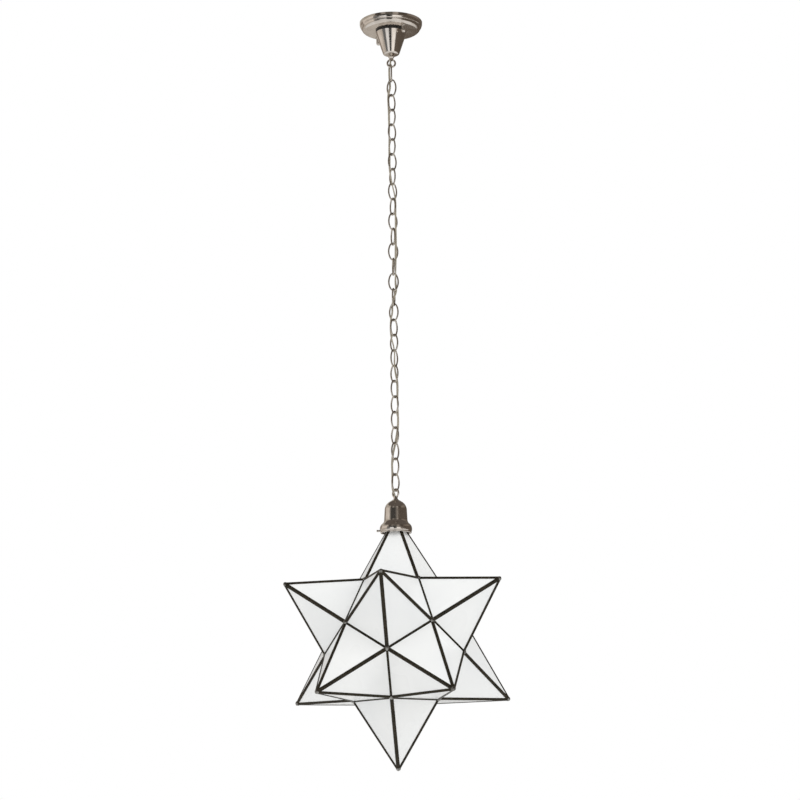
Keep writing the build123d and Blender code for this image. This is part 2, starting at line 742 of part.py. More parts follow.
# One point about its own axis: dark cames over the ridges and half of each valley, open behind the panes
outer_spike = spike(came_rise)
inner_spike = spike(-glass_thickness)
with BuildPart() as point_frame:
    add(outer_spike)
    add(inner_spike, mode=Mode.SUBTRACT)
    with BuildSketch(*pane_planes):
        Polygon(*pane_outline(ridge_flange, valley_flange), align=None)
    extrude(amount=2 * came_rise, mode=Mode.SUBTRACT)
    with BuildSketch(*pane_planes):
        Polygon(*pane_outline(ridge_web, valley_web), align=None)
    extrude(amount=-glass_thickness - pane_play, mode=Mode.SUBTRACT)

# The came parts at its soldered seams into a strip along each ridge and one along each foot edge
came_joint_height = foot_height + valley_flange + came_rise
with BuildPart() as ridge_came:
    add(point_frame.part)
    split(bisect_by=Plane.XY.offset(tip_radius), keep=Keep.BOTTOM)
    split(bisect_by=Plane.XY.offset(came_joint_height + solder_seam / 2), keep=Keep.TOP)
    split(bisect_by=upright(36).offset(solder_seam / 2), keep=Keep.TOP)
    split(bisect_by=upright(-36).offset(-solder_seam / 2), keep=Keep.BOTTOM)

with BuildPart() as foot_came:
    add(point_frame.part)
    split(bisect_by=Plane.XY.offset(came_joint_height - solder_seam / 2), keep=Keep.BOTTOM)
    split(bisect_by=upright(72).offset(solder_seam / 2), keep=Keep.TOP)
    split(bisect_by=upright(0).offset(-solder_seam / 2), keep=Keep.BOTTOM)

with BuildPart() as point_cames:
    with PolarLocations(0, 5):
        add(ridge_came.part)
        add(foot_came.part)

with BuildPart() as point_glass:
    with BuildSketch(*pane_planes):
        Polygon(*pane_outline(ridge_web + pane_play, valley_web + pane_play), align=None)
    extrude(amount=-glass_thickness)

# The twelve points' axes: straight up, straight down, and two rings of five between them
ring_angle = degrees(2 * atan2(1, golden))
star_middle = (0, 0, star_centre)
top_turn = star_turn + 36
top_plane = Plane(origin=star_middle, x_dir=around(1, top_turn, 0), z_dir=(0, 0, 1))
free_planes = [Plane(origin=star_middle, x_dir=around(1, star_turn, 0), z_dir=(0, 0, -1))]
for side in range(5):
    for angle, turn, way in (
        (ring_angle, star_turn + 72 * side, 1),
        (180 - ring_angle, top_turn + 72 * side, -1),
    ):
        across, along = cos(radians(angle)), sin(radians(angle))
        down_slope = Vector(*around(across, turn, -along)) * way
        free_planes.append(Plane(origin=star_middle, x_dir=down_slope, z_dir=around(along, turn, across)))

with BuildPart() as top_point_frame:
    with Locations(top_plane):
        add(point_cames.part)
    split(bisect_by=Plane.XY.offset(collar_floor), keep=Keep.BOTTOM)
top_point_frame.part.label = "top_point_frame"
export_step(top_point_frame.part, "parts/top_point_frame.step")

with BuildPart() as top_point_panes:
    with Locations(top_plane):
        add(point_glass.part)
    split(bisect_by=Plane.XY.offset(collar_floor), keep=Keep.BOTTOM)
top_point_panes.part.label = "top_point_panes"
export_step(top_point_panes.part, "parts/top_point_panes.step")

with BuildPart() as point_frames:
    with Locations(*free_planes):
        add(point_cames.part)
point_frames.part.label = "point_frames"
export_step(point_frames.part, "parts/point_frames.step")

with BuildPart() as point_panes:
    with Locations(*free_planes):
        add(point_glass.part)
point_panes.part.label = "point_panes"
export_step(point_panes.part, "parts/point_panes.step")

# --- Lamp cord: from the nipple's top, through the chain, to the socket ---
crossing_top = (hang_ring_centre - ring_radius + first_link_top) / 2
route = [(0, 0, nipple_top), (0, 0, loop_bore_mouth - cord_entry_drop)]
for crossing, turn, radius in cord_points:
    route.append(around(radius, turn, crossing_top - crossing * link_pitch))
route.append((0, 0, loop_mouth + cord_entry_drop))
route.append((0, 0, socket_body_top))
runs = [Vector(*end) - Vector(*start) for start, end in zip(route, route[1:])]
bends = []
for first, second in zip(runs, runs[1:]):
    half_turn = radians(first.get_angle(second)) / 2
    bends.append(0.45 * min(first.length, second.length) / tan(half_turn))
print("cord bend radii, mm:", [round(bend, 1) for bend in bends])
with BuildPart() as lamp_cord:
    with BuildLine() as cord_path:
        FilletPolyline(*route, radius=bends)
    with BuildSketch(Plane(origin=route[0], z_dir=(0, 0, -1))):
        Circle(cord_diameter / 2)
    sweep(path=cord_path.wire())
cord_length = cord_path.wire().length
print("cord length, mm:", round(cord_length), "volume", round(lamp_cord.part.volume))
print("section times length:", round(pi * cord_diameter**2 / 4 * cord_length))
lamp_cord.part.label = "lamp_cord"
export_step(lamp_cord.part, "parts/lamp_cord.step")

# --- Supply leads: the cord's two cores, each bent over into a wire connector on the canopy's floor ---
connector_axis = canopy_inner_floor + connector_mouth_diameter / 2
connector_start = connector_distance
with BuildPart() as supply_leads:
    for half in (0, 180):
        wiring = upright(stud_direction + 90 + half)
        with BuildLine(wiring) as lead_path:
            FilletPolyline(
                (lead_diameter / 2 + lead_gap / 2, nipple_top),
                (lead_diameter / 2 + lead_gap / 2, nipple_top + lead_rise),
                (connector_start - lead_level_run, connector_axis),
                (connector_start + connector_bore_depth - lead_gap, connector_axis),
                radius=lead_bend_radius,
            )
        with BuildSketch(Plane(origin=lead_path.line @ 0, z_dir=(0, 0, 1))):
            Circle(lead_diameter / 2)
        sweep(path=lead_path.wire())
supply_leads.part.label = "supply_leads"
export_step(supply_leads.part, "parts/supply_leads.step")

with BuildPart() as wire_connectors:
    for half in (0, 180):
        turn = stud_direction + 90 + half
        mouth = Plane(
            origin=around(connector_start, turn, connector_axis),
            z_dir=around(1, turn, 0),
        )
        with BuildSketch(mouth):
            Circle(connector_mouth_diameter / 2)
        with BuildSketch(mouth.offset(connector_length)):
            Circle(connector_tip_diameter / 2)
        loft()
        with BuildSketch(mouth):
            Circle(connector_bore / 2)
        extrude(amount=connector_bore_depth, mode=Mode.SUBTRACT)
wire_connectors.part.label = "wire_connectors"
export_step(wire_connectors.part, "parts/wire_connectors.step")
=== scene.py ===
import bpy, bmesh
from itertools import combinations
from math import acos, atan, atan2, cos, hypot, pi, radians, sin, sqrt, tan
from mathutils import Matrix, Vector


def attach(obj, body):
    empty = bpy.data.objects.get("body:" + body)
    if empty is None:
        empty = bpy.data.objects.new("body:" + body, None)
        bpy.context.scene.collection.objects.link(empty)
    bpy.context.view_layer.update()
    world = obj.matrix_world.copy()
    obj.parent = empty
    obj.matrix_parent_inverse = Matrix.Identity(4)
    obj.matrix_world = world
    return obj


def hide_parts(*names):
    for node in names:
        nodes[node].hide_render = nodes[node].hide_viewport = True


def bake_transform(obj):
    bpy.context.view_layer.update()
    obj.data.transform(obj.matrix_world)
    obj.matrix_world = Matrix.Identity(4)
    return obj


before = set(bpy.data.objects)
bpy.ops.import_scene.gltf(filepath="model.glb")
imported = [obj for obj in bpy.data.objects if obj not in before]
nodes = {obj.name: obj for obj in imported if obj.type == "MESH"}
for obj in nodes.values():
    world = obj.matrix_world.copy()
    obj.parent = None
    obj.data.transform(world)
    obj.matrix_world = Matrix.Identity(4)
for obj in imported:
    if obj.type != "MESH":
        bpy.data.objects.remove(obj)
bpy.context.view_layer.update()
scene = bpy.context.scene
mm = 0.001
print("frame loaded:", len(nodes), "nodes")


class named(dict):
    # a dictionary whose values can also be read as .name
    __getattr__ = dict.__getitem__


# heights that several pieces share, in metres, as the solids have them
heights = named({
    "hangJoint": -0.0996, "firstCrossing": -0.0977, "linkJoint": -0.1319, "linkPitch": 0.0327, "rim": -1.1024,
    "starCentre": -1.324433,
})
starTurn = -97.7
linkCount = 28


# nodes, meshes and objects
def newNodeTree(owner):
    owner.use_nodes = True
    owner.node_tree.nodes.clear()
    return owner.node_tree


def newMaterial(name):
    mat = bpy.data.materials.new(name)
    return mat, newNodeTree(mat)


def add(tree, kind, sockets=None, **settings):
    # a new node; sockets has a value or another node's output for each input, by name or number
    node = tree.nodes.new(kind)
    for key, value in settings.items():
        setattr(node, key, value)
    for key, value in (sockets or {}).items():
        if isinstance(value, bpy.types.NodeSocket):
            tree.links.new(value, node.inputs[key])
        else:
            node.inputs[key].default_value = value
    return node


def flow(tree, kind, sockets=None, **settings):
    # a new node's first output
    return add(tree, kind, sockets, **settings).outputs[0]


def mathNode(tree, operation, *values, clamp=False):
    return flow(tree, "ShaderNodeMath", dict(enumerate(values)), operation=operation, use_clamp=clamp)


def plus(tree, a, b):
    return mathNode(tree, "ADD", a, b)


def minus(tree, a, b):
    return mathNode(tree, "SUBTRACT", a, b)


def times(tree, a, b):
    return mathNode(tree, "MULTIPLY", a, b)


def joinXyz(tree, *values):
    return flow(tree, "ShaderNodeCombineXYZ", dict(enumerate(values)))


def spread(tree, value, low, high, toLow, toHigh):
    return flow(tree, "ShaderNodeMapRange", {"Value": value, "From Min": low, "From Max": high,
                                             "To Min": toLow, "To Max": toHigh})


socketKinds = {float: "Float", int: "Int", tuple: "Vector", str: "Geometry", type(None): "Material"}


def newGroup(treeKind, name, inputs, outputs):
    # a node group with named inputs and outputs; what stands for each one's value tells its kind
    tree = bpy.data.node_groups.new(name, treeKind)
    for way, sockets in (("INPUT", inputs), ("OUTPUT", outputs)):
        for label, value in sockets.items():
            kind = "NodeSocket" + socketKinds[type(value)]
            socket = tree.interface.new_socket(name=label, in_out=way, socket_type=kind)
            if way == "INPUT" and isinstance(value, (float, int, tuple)):
                socket.default_value = value
    return tree, tree.nodes.new("NodeGroupInput").outputs, tree.nodes.new("NodeGroupOutput").inputs


def newMesh(name, bm):
    mesh = bpy.data.meshes.new(name)
    bm.to_mesh(mesh)
    bm.free()
    return mesh


def newObject(name, data):
    thing = bpy.data.objects.new(name, data)
    scene.collection.objects.link(thing)
    return thing


def evaluatedMesh(thing):
    bpy.context.view_layer.update()
    graph = bpy.context.evaluated_depsgraph_get()
    return bpy.data.meshes.new_from_object(thing.evaluated_get(graph), depsgraph=graph)


def disc(name, radius, height, segments):
    bm = bmesh.new()
    bmesh.ops.create_circle(bm, cap_ends=True, segments=segments, radius=radius)
    bmesh.ops.translate(bm, verts=bm.verts, vec=(0, 0, height))
    return newMesh(name, bm)


# camera, light and stage
cameraSpec = named({
    "place": (0.0, -4.9836, -1.8695), "tiltUp": 11.85, "pan": 0.127, "roll": -0.6, "lens": 110.8, "sensor": 36,
    "reach": 100,
})
studio = named({
    "ambient": (1.0, 1.0, 0.99), "ambientStrength": 0.93, "aim": (0, 0, -1.1), "floorHeight": -2.35,
    "floorRadius": 9, "floorColour": (0.86, 0.86, 0.86), "floorRoughness": 0.8,
})
# each lamp: place, size, power and colour
lampSpec = {
    "keyLamp": ((-2.2, -2.6, 2.4), (2.4, 2.4), 26, (1.0, 0.99, 0.97)),
    "fillLamp": ((3.0, -1.6, 0.8), (2.0, 2.6), 26, (0.98, 0.99, 1.0)),
    "backLamp": ((0.6, 3.2, 0.6), (2.4, 2.0), 20, (1, 1, 1)),
}


def makeCamera(spec):
    data = bpy.data.cameras.new("photoCamera")
    data.lens = spec.lens
    data.sensor_width = spec.sensor
    data.sensor_fit = "HORIZONTAL"
    data.clip_end = spec.reach
    camera = newObject("photoCamera", data)
    tilt, pan, roll = map(radians, (spec.tiltUp, spec.pan, spec.roll))
    camera.matrix_world = (Matrix.Translation(spec.place) @ Matrix.Rotation(-pan, 4, "Z")
                           @ Matrix.Rotation(pi / 2 + tilt, 4, "X") @ Matrix.Rotation(roll, 4, "Z"))
    scene.camera = camera


def makeWorld():
    # a soft room for the light; white for what the camera, reflections and clear pieces see
    scene.world = bpy.data.worlds.new("softRoom")
    tree = newNodeTree(scene.world)
    room = flow(tree, "ShaderNodeBackground",
                {"Color": (*studio.ambient, 1), "Strength": studio.ambientStrength})
    white = flow(tree, "ShaderNodeBackground", {"Color": (1, 1, 1, 1), "Strength": 1.0})
    path = add(tree, "ShaderNodeLightPath").outputs
    seen = mathNode(tree, "MAXIMUM", path["Is Camera Ray"], path["Is Glossy Ray"])
    seen = mathNode(tree, "MAXIMUM", seen, path["Is Transmission Ray"])
    mixed = flow(tree, "ShaderNodeMixShader", {"Fac": seen, 1: room, 2: white})
    add(tree, "ShaderNodeOutputWorld", {"Surface": mixed})


def areaLamp(name, place, size, power, colour):
    data = bpy.data.lights.new(name, "AREA")
    data.shape = "RECTANGLE"
    data.size, data.size_y = size
    data.energy = power
    data.color = colour
    lamp = newObject(name, data)
    lamp.visible_glossy = False  # the flags are what the metal shows
    way = Vector(studio.aim) - Vector(place)
    lamp.matrix_world = Matrix.Translation(place) @ way.to_track_quat("-Z", "Y").to_matrix().to_4x4()


# what the polished metal sees round it: low for the cone, middle for the bell, top for the canopy
# each ring: its lower and upper height; each flag: degrees from the camera to the right, and its tone
flagSpec = named({"distance": 4.4, "columnEvery": 6, "roofHeight": 2.55, "roofTone": (0.15, 0.13, 0.115)})
flagRings = {
    "lowRing": (-2.3, -0.7, [
        (-180, -68, (0.62, 0.58, 0.53)), (-68, -44, (0.18, 0.19, 0.20)), (-41, -18, (1.1, 1.13, 1.16)),
        (-16, 4, (0.03, 0.03, 0.03)), (8, 38, (1.3, 1.28, 1.25)), (42, 180, (0.15, 0.123, 0.1)),
    ]),
    "middleRing": (-0.7, 0.75, [
        (-180, -122, (0.36, 0.31, 0.27)), (-122, -66, (0.88, 0.82, 0.76)), (-66, -52, (0.3, 0.28, 0.26)),
        (-52, -5, (0.07, 0.067, 0.062)), (-5, 7, (0.15, 0.14, 0.13)), (7, 24, (0.32, 0.29, 0.26)),
        (24, 180, (0.14, 0.117, 0.097)),
    ]),
    "topRing": (0.75, 2.6, [
        (-180, -60, (0.58, 0.54, 0.48)), (-60, -36, (0.09, 0.08, 0.07)), (-36, -20, (0.4, 0.37, 0.34)),
        (-20, 8, (0.16, 0.15, 0.13)), (8, 27, (0.48, 0.44, 0.4)), (27, 62, (0.1, 0.085, 0.07)),
        (62, 120, (0.28, 0.24, 0.205)), (120, 180, (0.18, 0.155, 0.13)),
    ]),
}


def stageFlag(mesh, colour):
    # a flag that only polished surfaces see
    flag = newObject(mesh.name, mesh)
    mat, tree = newMaterial(mesh.name + "Paint")
    glow = flow(tree, "ShaderNodeEmission", {"Color": (*colour, 1)})
    add(tree, "ShaderNodeOutputMaterial", {"Surface": glow})
    mesh.materials.append(mat)
    for ray in ("camera", "diffuse", "shadow", "transmission"):
        setattr(flag, "visible_" + ray, False)


def makeFlags(spec):
    away = spec.distance
    for ring, (low, high, flags) in flagRings.items():
        for number, (start, end, colour) in enumerate(flags):
            steps = max(2, int((end - start) / spec.columnEvery))
            turns = [radians(start + (end - start) * step / steps) for step in range(steps + 1)]
            points = [(away * sin(t), -away * cos(t), z) for t in turns for z in (low, high)]
            mesh = bpy.data.meshes.new(f"{ring}Flag{number}")
            mesh.from_pydata(points, [], [(k, k + 2, k + 3, k + 1) for k in range(0, 2 * steps, 2)])
            stageFlag(mesh, colour)
    stageFlag(disc("roofFlag", away, spec.roofHeight, 48), spec.roofTone)


def makeFloor():
    # pale from above, clear from below
    mesh = disc("paleFloor", studio.floorRadius, studio.floorHeight, 96)
    floor = newObject("paleFloor", mesh)
    mat, tree = newMaterial("floorPaint")
    paint = flow(tree, "ShaderNodeBsdfPrincipled",
                 {"Base Color": (*studio.floorColour, 1), "Roughness": studio.floorRoughness})
    clear = flow(tree, "ShaderNodeBsdfTransparent")
    side = add(tree, "ShaderNodeNewGeometry").outputs["Backfacing"]
    mixed = flow(tree, "ShaderNodeMixShader", {"Fac": side, 1: paint, 2: clear})
    add(tree, "ShaderNodeOutputMaterial", {"Surface": mixed})
    mesh.materials.append(mat)


makeCamera(cameraSpec)
scene.view_settings.view_transform = "Standard"
makeWorld()
makeFloor()
for name, spec in lampSpec.items():
    areaLamp(name, *spec)
makeFlags(flagSpec)
print("camera, lamps and stage made")


# shader groups that several finishes share
def noiseAt(tree, place, scale, detail, **sockets):
    return flow(tree, "ShaderNodeTexNoise", {"Vector": place, "Scale": scale, "Detail": detail, **sockets})


def objectPoint(tree):
    return add(tree, "ShaderNodeTexCoord").outputs["Object"]


def makeHandlingMarks():
    # soft smudges and fine speckle
    group, get, end = newGroup("ShaderNodeTree", "handlingMarks", {"Size": 60.0, "Speckle": 900.0},
                               {"Mask": 0.0, "Grain": 0.0})
    place = objectPoint(group)
    broad = noiseAt(group, place, get["Size"], 4.0, Roughness=0.55)
    fine = noiseAt(group, place, get["Speckle"], 3.0, Roughness=0.6)
    group.links.new(spread(group, broad, 0.35, 0.68, 0.0, 1.0), end["Mask"])
    group.links.new(fine, end["Grain"])
    return group


def makeEdgeWearAndHollowShade():
    # where the surface turns outwards, broken up by noise, for edge wear; and where it turns inwards, for painted
    # shade in the hollows
    group, get, end = newGroup("ShaderNodeTree", "edgeWearAndHollowShade", {"Reach": 0.08, "Break Up": 400.0},
                               {"Edge": 0.0, "HollowShade": 0.0})
    bend = add(group, "ShaderNodeNewGeometry").outputs["Pointiness"]
    noise = noiseAt(group, objectPoint(group), get["Break Up"], 5.0)
    raised = minus(group, bend, 0.5)
    edge = mathNode(group, "DIVIDE", raised, get["Reach"], clamp=True)
    edge = times(group, edge, spread(group, noise, 0.35, 0.6, 0.0, 1.0))
    sunk = minus(group, 0.5, bend)
    group.links.new(edge, end["Edge"])
    group.links.new(mathNode(group, "DIVIDE", sunk, get["Reach"], clamp=True), end["HollowShade"])
    return group


def makeSpinLines():
    # faint rings that a lathe or a polishing wheel leaves round the upright axis
    group, get, end = newGroup("ShaderNodeTree", "spinLines", {"Pitch": 2600.0, "Waver": 30.0}, {"Height": 0.0})
    place = objectPoint(group)
    x, y, z = add(group, "ShaderNodeSeparateXYZ", {0: place}).outputs
    squares = plus(group, times(group, x, x), times(group, y, y))
    along = plus(group, mathNode(group, "SQRT", squares), z)
    wobble = noiseAt(group, place, get["Waver"], 2.0)
    along = plus(group, along, times(group, wobble, 0.0004))
    across = joinXyz(group, times(group, along, get["Pitch"]))
    group.links.new(noiseAt(group, across, 1.0, 2.0), end["Height"])
    return group


handlingMarks = makeHandlingMarks()
edgeWearAndHollowShade = makeEdgeWearAndHollowShade()
spinLines = makeSpinLines()


# finishes
def spaced(values):
    # inputs by name, with a blank for each underscore
    return {key.replace("_", " "): value for key, value in values.items()}


def useGroup(tree, group, **values):
    return add(tree, "ShaderNodeGroup", spaced(values), node_tree=group).outputs


def blendColour(tree, fac, a, b):
    a, b = ((*value, 1) if isinstance(value, tuple) else value for value in (a, b))
    return add(tree, "ShaderNodeMix", {0: fac, 6: a, 7: b}, data_type="RGBA").outputs[2]


def startFinish(name, metallic=0.0, **plain):
    mat, tree = newMaterial(name)
    skin = add(tree, "ShaderNodeBsdfPrincipled", {"Metallic": metallic, **spaced(plain)})
    add(tree, "ShaderNodeOutputMaterial", {"Surface": skin.outputs[0]})
    return mat, tree, skin.inputs


def endFinish(made, colour, rough, height, bump):
    # bump: strength and distance
    mat, tree, skin = made
    strength, distance = bump
    tree.links.new(colour, skin["Base Color"])
    tree.links.new(rough, skin["Roughness"])
    bumped = flow(tree, "ShaderNodeBump", {"Strength": strength, "Distance": distance, "Height": height})
    tree.links.new(bumped, skin["Normal"])
    return mat


def nickelFinish(name, warm, dull, rough, lines):
    made = startFinish(name, 1.0)
    tree = made[1]
    marks = useGroup(tree, handlingMarks, Size=45.0, Speckle=1400.0)
    wearAndShade = useGroup(tree, edgeWearAndHollowShade, Reach=0.1, Break_Up=500.0)
    spin = useGroup(tree, spinLines, Pitch=2600.0)
    # painted shade: the colour turns darker where the surface turns inwards
    hollowShade = tuple(c * 0.35 for c in dull)
    colour = blendColour(tree, spread(tree, marks["Mask"], 0, 1, 0.0, 0.55), warm, dull)
    colour = blendColour(tree, spread(tree, wearAndShade["HollowShade"], 0, 1, 0.0, 0.6), colour, hollowShade)
    height = plus(tree, spin["Height"], times(tree, marks["Grain"], 0.3))
    return endFinish(made, colour, spread(tree, marks["Mask"], 0, 1, *rough), height, (lines, 0.0002))


def steelFinish(name, bright, dark, rough=0.38):
    # zinc plate: a dull spangle under a thin haze
    made = startFinish(name, 1.0)
    tree = made[1]
    marks = useGroup(tree, handlingMarks, Size=120.0, Speckle=1500.0)
    cells = flow(tree, "ShaderNodeTexVoronoi", {"Scale": 260.0, "Vector": objectPoint(tree)})
    colour = blendColour(tree, spread(tree, cells, 0.0, 0.9, 0.0, 0.5), bright, dark)
    colour = blendColour(tree, spread(tree, marks["Mask"], 0, 1, 0, 0.35), colour, dark)
    haze = spread(tree, marks["Mask"], 0, 1, rough - 0.08, rough + 0.12)
    return endFinish(made, colour, haze, marks["Grain"], (0.2, 0.0002))


def whiteGlassFinish(name):
    # cased white glass: a clear skin over white, with a slow draw in the sheet and a few seeds
    made = startFinish(name, 0.0, IOR=1.5, Specular_IOR_Level=0.22, Coat_Weight=0.0)
    tree = made[1]
    place = objectPoint(tree)
    slow = noiseAt(tree, place, 7.0, 2.0)
    seeds = flow(tree, "ShaderNodeTexVoronoi", {"Scale": 95.0, "Vector": place}, feature="F1")
    seed = spread(tree, seeds, 0.03, 0.06, 1.0, 0.0)
    colour = blendColour(tree, spread(tree, slow, 0.3, 0.7, 0, 1), (0.90, 0.905, 0.90), (0.84, 0.85, 0.855))
    colour = blendColour(tree, times(tree, seed, 0.25), colour, (0.7, 0.71, 0.7))
    return endFinish(made, colour, spread(tree, slow, 0.3, 0.7, 0.24, 0.38), slow, (0.12, 0.004))


def markedFinish(name, metallic, marks, colours, rough, bump, edge=None, amount=None, **plain):
    # marks: size and speckle; edge: reach, break up, amount and the colour that stands out there
    made = startFinish(name, metallic, **plain)
    tree = made[1]
    marked = useGroup(tree, handlingMarks, Size=marks[0], Speckle=marks[1])
    mask = spread(tree, marked["Mask"], 0, 1, 0, amount) if amount else marked["Mask"]
    colour = blendColour(tree, mask, *colours)
    if edge:
        reach, breakUp, most, rubbed = edge
        wearAndShade = useGroup(tree, edgeWearAndHollowShade, Reach=reach, Break_Up=breakUp)
        colour = blendColour(tree, spread(tree, wearAndShade["Edge"], 0, 1, 0, most), colour, rubbed)
    return endFinish(made, colour, spread(tree, marked["Mask"], 0, 1, *rough), marked["Grain"], bump)


def mouldedFinish(name, colour, shade, rough=0.42, coat=0.0, bump=0.12):
    raised = tuple(min(1, c * 1.6 + 0.02) for c in colour)
    return markedFinish(name, 0.0, (80.0, 1600.0), (colour, shade), (rough - 0.06, rough + 0.1), (bump, 0.0003),
                        (0.12, 420.0, 0.3, raised), Coat_Weight=coat, Coat_Roughness=0.2)


polishedNickel = nickelFinish("polishedNickel", (0.66, 0.61, 0.56), (0.42, 0.37, 0.32), (0.09, 0.2), 0.025)
chainNickel = nickelFinish("chainNickel", (0.56, 0.515, 0.455), (0.31, 0.27, 0.225), (0.16, 0.32), 0.1)
zincSteel = steelFinish("zincSteel", (0.62, 0.63, 0.62), (0.40, 0.41, 0.40))
# blackened came with a brown bloom, rubbed brighter where it stands out
darkCame = markedFinish("darkCame", 0.3, (38.0, 900.0), ((0.0085, 0.008, 0.006), (0.024, 0.019, 0.011)), (0.3, 0.5),
                        (0.35, 0.0006), (0.12, 320.0, 0.5, (0.075, 0.063, 0.044)), Specular_IOR_Level=0.12)
softSolder = markedFinish("softSolder", 1.0, (160.0, 700.0), ((0.36, 0.36, 0.345), (0.09, 0.08, 0.065)),
                          (0.24, 0.5), (0.4, 0.0008), (0.15, 260.0, 0.4, (0.5, 0.5, 0.48)))
whiteGlass = whiteGlassFinish("whiteGlass")
frostedGlass = markedFinish("frostedGlass", 0.0, (70.0, 2000.0), ((0.93, 0.93, 0.91), (0.86, 0.86, 0.84)),
                            (0.4, 0.55), (0.2, 0.0002), IOR=1.5, Transmission_Weight=0.55)
socketBrass = markedFinish("socketBrass", 1.0, (90.0, 1500.0), ((0.72, 0.52, 0.2), (0.36, 0.24, 0.09)),
                           (0.22, 0.42), (0.15, 0.0002), (0.1, 500.0, 0.5, (0.85, 0.68, 0.36)), 0.7)
blackMoulding = mouldedFinish("blackMoulding", (0.018, 0.017, 0.016), (0.03, 0.027, 0.024), 0.46)
cordJacket = mouldedFinish("cordJacket", (0.34, 0.30, 0.235), (0.25, 0.22, 0.17), 0.32, 0.4, 0.2)
leadJacket = mouldedFinish("leadJacket", (0.78, 0.77, 0.72), (0.68, 0.67, 0.62), 0.35, 0.2)
connectorPlastic = mouldedFinish("connectorPlastic", (0.62, 0.19, 0.03), (0.5, 0.15, 0.025), 0.4)
print("finishes made")


# outlines and turned pieces, in mm
def arcPoints(x, y, radius, start, end, steps):
    # the shorter way round from one angle to the other
    sweep = (end - start + pi) % (2 * pi) - pi
    turns = [start + sweep * k / steps for k in range(steps + 1)]
    return [(x + radius * cos(t), y + radius * sin(t)) for t in turns]


def arcThrough(a, b, c, steps):
    # points of the circle through three points
    (ax, ay), (bx, by), (cx, cy) = a, b, c
    d = 2 * (ax * (by - cy) + bx * (cy - ay) + cx * (ay - by))
    sa, sb, sc = ax * ax + ay * ay, bx * bx + by * by, cx * cx + cy * cy
    ux = (sa * (by - cy) + sb * (cy - ay) + sc * (ay - by)) / d
    uy = (sa * (cx - bx) + sb * (ax - cx) + sc * (bx - ax)) / d
    start, end = atan2(ay - uy, ax - ux), atan2(cy - uy, cx - ux)
    return arcPoints(ux, uy, hypot(ax - ux, ay - uy), start, end, steps)


def tangentArc(a, way, b, steps):
    # an arc that leaves a along way and ends in b
    start, end = Vector(a), Vector(b)
    along = Vector(way).normalized()
    side = Vector((-along.y, along.x))
    gap = end - start
    radius = gap.length_squared / (2 * gap.dot(side))
    centre = start + side * radius
    first, last = start - centre, end - centre
    turns = atan2(first.y, first.x), atan2(last.y, last.x)
    return arcPoints(centre.x, centre.y, abs(radius), *turns, steps)


def rounded(points, radius, steps=4):
    # the same run of lines with each inner corner rounded
    out = [points[0]]
    for before, corner, after in zip(points, points[1:], points[2:]):
        p = Vector(corner)
        back, ahead = Vector(before) - p, Vector(after) - p
        reach = min(radius, 0.45 * back.length, 0.45 * ahead.length)
        start, end = p + back.normalized() * reach, p + ahead.normalized() * reach
        for k in range(steps + 1):
            t = k / steps
            q = start * (1 - t) ** 2 + p * 2 * t * (1 - t) + end * t * t
            out.append((q.x, q.y))
    out.append(points[-1])
    return out


def inside(points, wall):
    # the line one wall thickness to the left of a run of points
    out = []
    for k, point in enumerate(points):
        before, after = points[max(k - 1, 0)], points[min(k + 1, len(points) - 1)]
        way = (Vector(after) - Vector(before)).normalized()
        out.append((point[0] - way.y * wall, point[1] + way.x * wall))
    return out


def turned(outline, sides=96, shape=None):
    # turns an outline of radius and height round the upright axis; shape adds to the radius
    bm = bmesh.new()
    rings = []
    for radius, height in outline:
        if radius < 1e-4:
            rings.append([bm.verts.new((0, 0, height * mm))])
            continue
        ring = []
        for k in range(sides):
            turn = 2 * pi * k / sides
            r = (radius + (shape(radius, height, turn) if shape else 0)) * mm
            ring.append(bm.verts.new((r * cos(turn), r * sin(turn), height * mm)))
        rings.append(ring)
    pairs = list(zip(rings, rings[1:]))
    if len(rings[0]) > 1:
        pairs.append((rings[-1], rings[0]))
    for a, b in pairs:
        for k in range(sides):
            j = (k + 1) % sides
            corners = dict.fromkeys((a[k % len(a)], a[j % len(a)], b[j % len(b)], b[k % len(b)]))
            if len(corners) > 2:
                bm.faces.new(list(corners))
    return bm


def together(shapes):
    joined = bmesh.new()
    for shape in shapes:
        part = newMesh("onePart", shape)
        joined.from_mesh(part)
        bpy.data.meshes.remove(part)
    return joined


def settle(piece, body, stands=()):
    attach(piece, body)
    if stands:
        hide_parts(*stands)


def newPiece(name, bm, finish, sharp=38):
    # sharp: the angle in degrees from which an edge stays an edge
    bmesh.ops.recalc_face_normals(bm, faces=bm.faces)
    limit = radians(sharp)
    for face in bm.faces:
        face.smooth = True
    for edge in bm.edges:
        edge.smooth = len(edge.link_faces) == 2 and edge.calc_face_angle(0) < limit
    mesh = newMesh(name, bm)
    mesh.materials.append(finish)
    return newObject(name, mesh)


def turnedPiece(name, outline, finish, body, stands, sides=96, shape=None, place=None):
    bm = turned(outline, sides, shape)
    if place:
        bm.transform(place)
    settle(newPiece(name, bm, finish), body, stands)


def heading(turn):
    return Vector((cos(radians(turn)), sin(radians(turn)), 0))


def lying(turn, height, distance=0.0):
    # takes an upright turned shape to one that points outwards from the hanging axis
    way = heading(turn)
    place = Vector((0, 0, height * mm)) + way * distance * mm
    return Matrix.Translation(place) @ way.to_track_quat("Z", "Y").to_matrix().to_4x4()


# canopy: lip against the ceiling, a small step, a rounded edge and a flat floor
canopySizes = named({
    "lip": 66.7, "lipHeight": 3.0, "lipGap": 0.25, "lipEdge": 0.3, "bulge": 0.54, "step": 64.6,
    "stepLevel": 11.0, "stepWidth": 1.4, "corner": 0.35, "edge": (62.7, -13.4), "floor": (55.3, -19.5),
    "hole": 5.2, "wall": 1.0,
})


